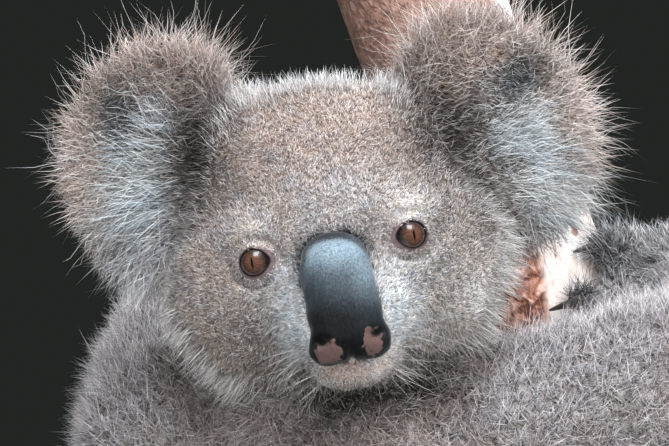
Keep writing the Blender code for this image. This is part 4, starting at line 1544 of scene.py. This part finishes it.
# %% [markdown]
# ## The nose
#
# The nose is a large pad of bare skin that feels like suede. We start from the CAD nose, remesh it
# finely, press in the two nostrils and the groove between them, and make it as narrow as the bare
# pad. Four numbers at each point say where it is pink, where the nostril holes are painted near black
# as shade, how light its grey is at that height, and where its dark edge runs. That grey is partly
# the leather's own and partly painted light: pale at the top, where light from above shines on its
# fuzz, lighter on the koala's left towards the key lamp and darker on its right.

# %% Nose leather
# the pad's grey at each height, partly its own and partly painted light that is pale at the top
NOSE_HEIGHTS = (-50, -32, -29, -26, -24, -21, -19, -16, -14, -11, -9, -6, -4, 1, 10)
NOSE_GREY_AND_PAINTED_LIGHT = (0.005, 0.01, 0.02, 0.035, 0.055, 0.085, 0.105, 0.15, 0.19, 0.24, 0.34, 0.56, 0.78, 1, 1)
NOSTRIL_PLACE, NOSTRIL_REACH = (12.2, -36.6), (3.6, 2.3)
NOSTRIL_SLANT = math.radians(-28)
PINK_SPOTS = {1: ((10.2, -40), (4.8, 7)), -1: ((10.2, -41), (6.8, 5.8))}  # place and reach


def nose_material():
    material, tree, shader = new_material("nose leather", 0.62)
    grain = noise(tree, drawn_out(tree, 0.5), 1500, 3, 0.6)
    mottle = noise(tree, object_place(tree), 420, 3, 0.6)
    # The slate grey follows the high number, partly the leather's own grey and partly painted light.
    slate = blend(tree, attribute(tree, "high"), paint(7, 8, 9), paint(113, 129, 140))
    fuzz = plus(tree, times(tree, ramp(tree, grain, 0.32, 0.68), 0.8), 0.6)
    slate = blend(tree, 1.0, slate, fuzz, "MULTIPLY")
    edge = plus(tree, attribute(tree, "edge"), times(tree, minus(tree, grain, 0.5), 2.4))
    slate = blend(tree, ramp(tree, edge, 0.35, 0.75), slate, paint(28, 29, 33))
    pink = plus(tree, attribute(tree, "pink"), times(tree, minus(tree, mottle, 0.5), 1.6))
    skin_pink = blend(tree, grain, paint(54, 42, 41), paint(102, 80, 76))
    colour = blend(tree, ramp(tree, pink, 0.46, 0.6), slate, skin_pink)
    # Painted shade: the nostril holes are near black.
    colour = blend(tree, attribute(tree, "nostril_shade"), colour, paint(14, 11, 11))
    tree.links.new(colour, shader.inputs["Base Color"])
    shader.inputs["Sheen Weight"].default_value = 0.15
    shader.inputs["Sheen Roughness"].default_value = 0.35
    shader.inputs["Sheen Tint"].default_value = (0.75, 0.86, 0.95, 1)
    shader.inputs["Specular IOR Level"].default_value = 0.35
    add_bump(tree, shader, plus(tree, grain, times(tree, mottle, 0.5)), 0.45, 0.0004)
    return material


def nostril(head, side):
    """How far into one nostril a point is: 1 in its middle, 0 outside. A slanted comma."""
    across = (head[:, 0] * side - NOSTRIL_PLACE[0]) / NOSTRIL_REACH[0]
    up = (head[:, 2] - NOSTRIL_PLACE[1]) / NOSTRIL_REACH[1]
    x = across * math.cos(NOSTRIL_SLANT) + up * math.sin(NOSTRIL_SLANT)
    z = up * math.cos(NOSTRIL_SLANT) - across * math.sin(NOSTRIL_SLANT)
    return np.exp(-((x * x + z * z) ** 1.2))


def shape_nose(nose):
    """Swells the two lobes, and presses in the groove and the nostrils."""
    head = to_head(places_of(nose))
    across, ahead, up = head.T.copy()
    head[:, 0] = across * (1 - 0.04 * smoothstep(-22, -40, up))
    head[:, 1] += 1.2 * (bell((abs(across) - 9.5) / 5.5) * smoothstep(-28, -40, up))
    groove = bell(across / 1.5) * smoothstep(-37, -46, up)
    head[:, 1] -= 1.6 * groove
    head[:, 2] += 1.8 * groove
    for side in (1, -1):
        head[:, 1] -= 3.6 * nostril(head, side) * (ahead > 55)
    move_to(nose, from_head(head))


def pink_share(head):
    """1 in the pink spot under each nostril."""
    shares = []
    for (across, up), (wide, high) in (PINK_SPOTS[1], PINK_SPOTS[-1]):
        x = (abs(head[:, 0]) - across) / wide
        z = (head[:, 2] - up) / high
        shares.append(np.exp(-((x**2 + z**2) ** 1.5)))
    return np.where(head[:, 0] > 0, *shares) * (head[:, 1] > 50)


def grey_and_painted_light(head):
    """How light the pad's grey is, partly its own grey and partly painted light: pale at the top,
    nearly black at the nostrils, lighter on the koala's left towards the key lamp and a little darker
    on its right.
    """
    high = np.interp(head[:, 2], NOSE_HEIGHTS, NOSE_GREY_AND_PAINTED_LIGHT)
    high = high * (1 + 2.4 * smoothstep(2, 15, head[:, 0]) * smoothstep(-4, -14, head[:, 2]))
    high = high * (1 - 0.3 * smoothstep(4, -13, head[:, 0]) * smoothstep(4, -6, head[:, 2]))
    return np.clip(high, 0, 1)


# %% Nose pad
nose = copy_of(["nose"], "nose_pad")
applied(nose, "REMESH", mode="VOXEL", voxel_size=0.85 * MM)
applied(nose, "SMOOTH", factor=0.5, iterations=14)
shape_nose(nose)
applied(nose, "SMOOTH", factor=0.5, iterations=2)
head = to_head(places_of(nose))
slim = slimmed(head)
move_to(nose, from_head(slim))
# The nostril holes, painted near black as shade.
write_number(nose, "nostril_shade", sum(smoothstep(0.45, 0.85, nostril(head, side)) for side in (1, -1)))
write_number(nose, "pink", pink_share(head))
# The pad's grey, partly painted light, is stored as high.
write_number(nose, "high", grey_and_painted_light(head))
slim[:, 0] += 1.6 * smoothstep(-4, 5, head[:, 2])  # the dark edge is thicker at the top on the left
edge = smoothstep(-3.4, -0.8, past_nose_pad(slim)) * smoothstep(-14, 0, head[:, 2])
write_number(nose, "edge", edge * (1 - 0.3 * smoothstep(0, 12, head[:, 0])))
smooth_shaded(nose)
finished(nose, nose_material(), "nose_leather", "nose")
print("nose pad", len(nose.data.polygons), "faces")

# %% [markdown]
# ## Whiskers and stray hairs
#
# A koala has only a few whiskers, pale and thin, at the sides of the muzzle. Longer hairs fringe its
# jaw and its crown, and some long stray hairs stand out of the fluff of its ears.

# %% Whiskers and stray hairs
WHISKER_SPOTS = [(-23, -42), (23, -42), (-16, -53), (17, -53)]
JAW_SPOTS = [(-70, -22), (-62, -38), (-50, -47), (70, -22), (64, -38), (52, -47), (74, -8), (73, 6)]
CROWN_SPOTS = [(-34, 72), (-46, 62), (-18, 75), (-2, 73), (14, 71), (40, 66)]
LONG_HAIR = paint(206, 204, 203)


def long_hairs(name, spots, reach, front, count, aim, length, thick, seed):
    """Single long hairs on the head.

    spots are places across and up in head millimetres, with one reach for all. front is how far
    forward the hairs may start, from and to, and aim how much they point sideways, forwards and up.
    length and thick are the least and the most, in millimetres.
    """
    rng = np.random.default_rng(seed)
    weight = sum(zone_share(ACROSS_HEAD, UP_HEAD, spot, reach) for spot in spots)
    weight = weight * ON_HEAD * (AHEAD > front[0]) * (AHEAD < front[1])
    bed = plant(weight, count, rng)
    side = np.sign(to_head(bed["points"])[:, :1])
    way = np.array([0, aim[1], aim[2]]) + side * np.array([aim[0], 0, 0]) + bed["normals"] @ AXES.T * 0.5
    way = unit(way + rng.normal(size=(count, 3)) * 0.22)
    bend = side * np.array([0.1, 0, 0]) + np.array([0, -0.2, -0.14]) + rng.normal(size=(count, 3)) * 0.14
    locks = {"root": bed["points"] - bed["normals"] * SUNK * MM, "unwrap": bed["unwrap"],
             "way": way @ AXES, "bend": bend @ AXES, "curl": rng.normal(size=(count, 3)) * 0.015,
             "size": rng.uniform(*length, count) * MM, "width": rng.uniform(*thick, count) * MM,
             "colour": np.tile(LONG_HAIR, (count, 1)) * rng.uniform(0.45, 1, (count, 1))}
    return finished(write_locks(name, locks, 3, rng), FUR, "coat")


LONG_HAIRS = [  # name, spots, reach, front, count, aim, length, thickness, seed
    ("whiskers", WHISKER_SPOTS, (5, 6), (36, 99), 80, (0.75, 0.3, -0.3), (10, 24), (0.13, 0.2), 80),
    ("fur_jaw_fringe", JAW_SPOTS, (9, 9), (-20, 30), 1150, (0.7, 0.0, -0.5), (6, 13), (0.22, 0.36), 81),
    ("fur_crown_fringe", CROWN_SPOTS, (9, 8), (-25, 25), 1500, (0.0, 0.1, 1.0), (6, 11), (0.22, 0.36), 82),
]
for hairs in LONG_HAIRS:
    long_hairs(*hairs)
for side, name in EARS.items():
    ear_locks(f"fur_{name}_stray", side, SKIN["ear"][side] * 1.0, 240, 4, stray, 84 + side)

# %% [markdown]
# ## Claws
#
# The claws are long, curved and grooved along their sides. Copies of the CAD claws are subdivided,
# which rounds them, and streaks of darker and paler horn run over them.


# %% Claws
def horn_material():
    material, tree, shader = new_material("claw horn", 0.32)
    place = object_place(tree)
    streaks = noise(tree, place, 260, 4, 0.6)
    fine = times(tree, noise(tree, place, 1400, 2), 0.3)
    colour = blend(tree, ramp(tree, streaks, 0.35, 0.7), paint(44, 42, 42), paint(84, 79, 76))
    colour = blend(tree, fine, colour, paint(110, 100, 92))
    tree.links.new(colour, shader.inputs["Base Color"])
    plug(tree, shader.inputs["Roughness"], plus(tree, times(tree, streaks, 0.3), 0.2))
    add_bump(tree, shader, plus(tree, streaks, fine), 0.35, 0.0005)
    return material


claws = copy_of(CLAWS, "claws")
applied(claws, "SUBSURF", levels=2, render_levels=2)
smooth_shaded(claws)
finished(claws, horn_material(), "claw_horn", *CLAWS)
print("claws", len(claws.data.polygons), "faces")

# %% [markdown]
# ## The limb
#
# A short length of a gum tree's limb. Its old bark is rust red and flakes off in small plates, and the
# new bark beneath is smooth, pale and pink. A fine remesh gives it enough points to carry the relief,
# which comes from noise stretched along the limb. The cut ends show the wood's rings.

# %% The limb's shape
limb = copy_of(["perch_limb"], "limb")
applied(limb, "REMESH", mode="VOXEL", voxel_size=2.6 * MM)
applied(limb, "SMOOTH", factor=0.5, iterations=24)


def limb_axis(points):
    """The limb's middle at the height of each point."""
    levels = np.linspace(points[:, 2].min(), points[:, 2].max(), 40)
    bands = [points[abs(points[:, 2] - level) < 9 * MM][:, :2] for level in levels]
    middles = np.array([(band.min(0) + band.max(0)) / 2 for band in bands])
    return np.stack([np.interp(points[:, 2], levels, middles[:, k]) for k in (0, 1)], 1)


def relief(points, across):
    """Old bark from 0 to 1, and how far each point of the limb stands out, in millimetres."""
    old = np.empty(len(points))
    high = np.empty(len(points))
    for n, (x, y, z) in enumerate(points):
        slow = fractal(Vector((x * 24, y * 24, z * 9)), 1, 2, 3)
        plate = fractal(Vector((x * 150 + 7, y * 150, z * 60)), 0.8, 2, 3)
        old[n] = -across[n, 0] * 0.055 + 0.08 + slow * 1.3 + 0.9 * (across[n, 1] > 0)
        high[n] = 0.35 * slow + 0.25 * plate
    old = smoothstep(-0.12, 0.12, old + 1.8 * smoothstep(0.0, 0.045, points[:, 2] - HEAD.z))
    return old, high + old * 0.8


points = places_of(limb)
normals = normals_of(limb)
across = (points[:, :2] - limb_axis(points)) / MM
old, high = relief(points, across)
from_end = np.minimum(points[:, 2].max() - points[:, 2], points[:, 2] - points[:, 2].min()) / MM
along_limb = spread(abs(normals[:, 2:]), edges_of(limb), 2)[:, 0]
cut = smoothstep(0.62, 0.8, along_limb) * (from_end < 30)
move_to(limb, points + normals * ((high - 0.6) * 0.7 * (1 - cut) * MM)[:, None])
write_number(limb, "old", old)
write_number(limb, "cut", cut)
write_number(limb, "core", np.linalg.norm(across, axis=1))
print("limb", len(limb.data.polygons), "faces,", round(float(old.mean()), 2), "of it old bark")


# %% The limb's bark
def new_bark(tree, place, patch):
    """Smooth pale bark with a few rust spots."""
    pale = blend(tree, ramp(tree, patch, 0.35, 0.65), paint(240, 236, 234), paint(222, 202, 194))
    spot = times(tree, ramp(tree, cells(tree, place, 95), 0.3, 0.16),
                 ramp(tree, noise(tree, place, 55), 0.46, 0.56))
    return blend(tree, spot, pale, paint(146, 84, 62))


def old_bark(tree, place, patch, fibre, plate):
    """Rusty plates with pale middles and dark gaps, with painted shade that makes them darker and greyer
    towards the top.
    """
    rust = blend(tree, ramp(tree, fibre, 0.3, 0.7), paint(142, 94, 77), paint(184, 134, 115))
    worn = times(tree, ramp(tree, plate, 0.42, 0.12), ramp(tree, patch, 0.4, 0.6))
    rust = blend(tree, worn, rust, paint(222, 186, 174))
    rust = blend(tree, ramp(tree, plate, 0.5, 0.72), rust, paint(104, 64, 52))
    height = tree.nodes.new("ShaderNodeSeparateXYZ")
    tree.links.new(place, height.inputs[0])
    # Painted shade: darker and greyer towards the top of the limb, behind the head.
    shade_at_top = times(tree, ramp(tree, height.outputs["Z"], HEAD.z + 0.02, HEAD.z + 0.08), 0.65)
    return blend(tree, shade_at_top, rust, paint(112, 92, 84))


def cut_wood(tree, patch):
    """Rings round the limb's middle, with a dark line of bark at the edge."""
    core = attribute(tree, "core")
    rings = calc(tree, "SINE", plus(tree, times(tree, core, 2.1), times(tree, patch, 5.0)))
    wood = blend(tree, ramp(tree, rings, -0.6, 0.9), paint(176, 136, 98), paint(208, 174, 134))
    return blend(tree, ramp(tree, core, 36.0, 39.0), wood, paint(110, 72, 52))


def bark_material():
    material, tree, shader = new_material("bark", 0.82)
    place = object_place(tree)
    long_place = drawn_out(tree, 0.35)
    fibre = noise(tree, long_place, 420, 4, 0.65)
    patch = noise(tree, long_place, 90, 4, 0.6)
    plate = cells(tree, blend(tree, 0.012, place, noise(tree, place, 140, out="Color")), 210)
    old = attribute(tree, "old")
    bark = blend(tree, old, new_bark(tree, place, patch), old_bark(tree, place, patch, fibre, plate))
    bark = blend(tree, attribute(tree, "cut"), bark, cut_wood(tree, patch))
    tree.links.new(bark, shader.inputs["Base Color"])
    plug(tree, shader.inputs["Roughness"], minus(tree, 0.92, times(tree, fibre, 0.25)))
    bumps = plus(tree, fibre, times(tree, patch, 1.5))
    flakes = times(tree, old, minus(tree, 1.0, plate))
    add_bump(tree, shader, plus(tree, bumps, times(tree, flakes, 1.4)), 0.6, 0.0014)
    return material


smooth_shaded(limb)
finished(limb, bark_material(), "bark", "perch_limb")
print("bark on", limb.name)

# %% [markdown]
# ## Stand and floor
#
# The stand holds the limb up: a painted plate and two steel rods. Both keep their CAD shapes and get
# materials of their own. The floor belongs to the studio and not to the koala.


# %% Stand and floor
def plate_material():
    material, tree, shader = new_material("stand paint", 0.5)
    place = object_place(tree)
    cloud = noise(tree, place, 14, 3)
    tree.links.new(blend(tree, cloud, paint(46, 48, 50), paint(62, 64, 66)), shader.inputs["Base Color"])
    plug(tree, shader.inputs["Roughness"], plus(tree, times(tree, cloud, 0.2), 0.38))
    add_bump(tree, shader, noise(tree, place, 700, 2), 0.2, 0.0004)
    return material


def rod_material():
    material, tree, shader = new_material("stand steel", 0.3, 1.0)
    brush = noise(tree, drawn_out(tree, 0.02), 1800, 3)
    steel = blend(tree, brush, paint(150, 152, 155), paint(196, 198, 200))
    tree.links.new(steel, shader.inputs["Base Color"])
    plug(tree, shader.inputs["Roughness"], plus(tree, times(tree, brush, 0.25), 0.18))
    add_bump(tree, shader, brush, 0.1, 0.0002)
    return material


def floor_material():
    material, tree, shader = new_material("studio floor", 0.8)
    cloud = noise(tree, object_place(tree), 3, 4)
    pale = blend(tree, cloud, paint(196, 195, 192), paint(206, 205, 202))
    tree.links.new(pale, shader.inputs["Base Color"])
    return material


for names, slot, made in ((["stand_base"], "stand_paint", plate_material()),
                          (["stand_rod_1", "stand_rod_2"], "stand_steel", rod_material())):
    piece = copy_of(names, names[0].replace("_1", "s") + "_finish")
    applied(piece, "BEVEL", width=0.6 * MM, segments=2, limit_method="ANGLE", angle_limit=math.radians(50))
    finished(piece, made, slot, *names)
floor = added(bpy.ops.mesh.primitive_plane_add, size=9)
floor.name = "floor"
floor.data.materials.append(floor_material())
floor.visible_glossy = False
floor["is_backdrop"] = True
print("stand and floor in place")

# %% [markdown]
# Last, the helper shapes go, and the model's size is printed.

# %% Finish
for shape in ("nose_shape", "perch_shape"):
    bpy.data.objects.remove(bpy.data.objects[shape])
low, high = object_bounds()
print("size", [round(v, 3) for v in high - low])
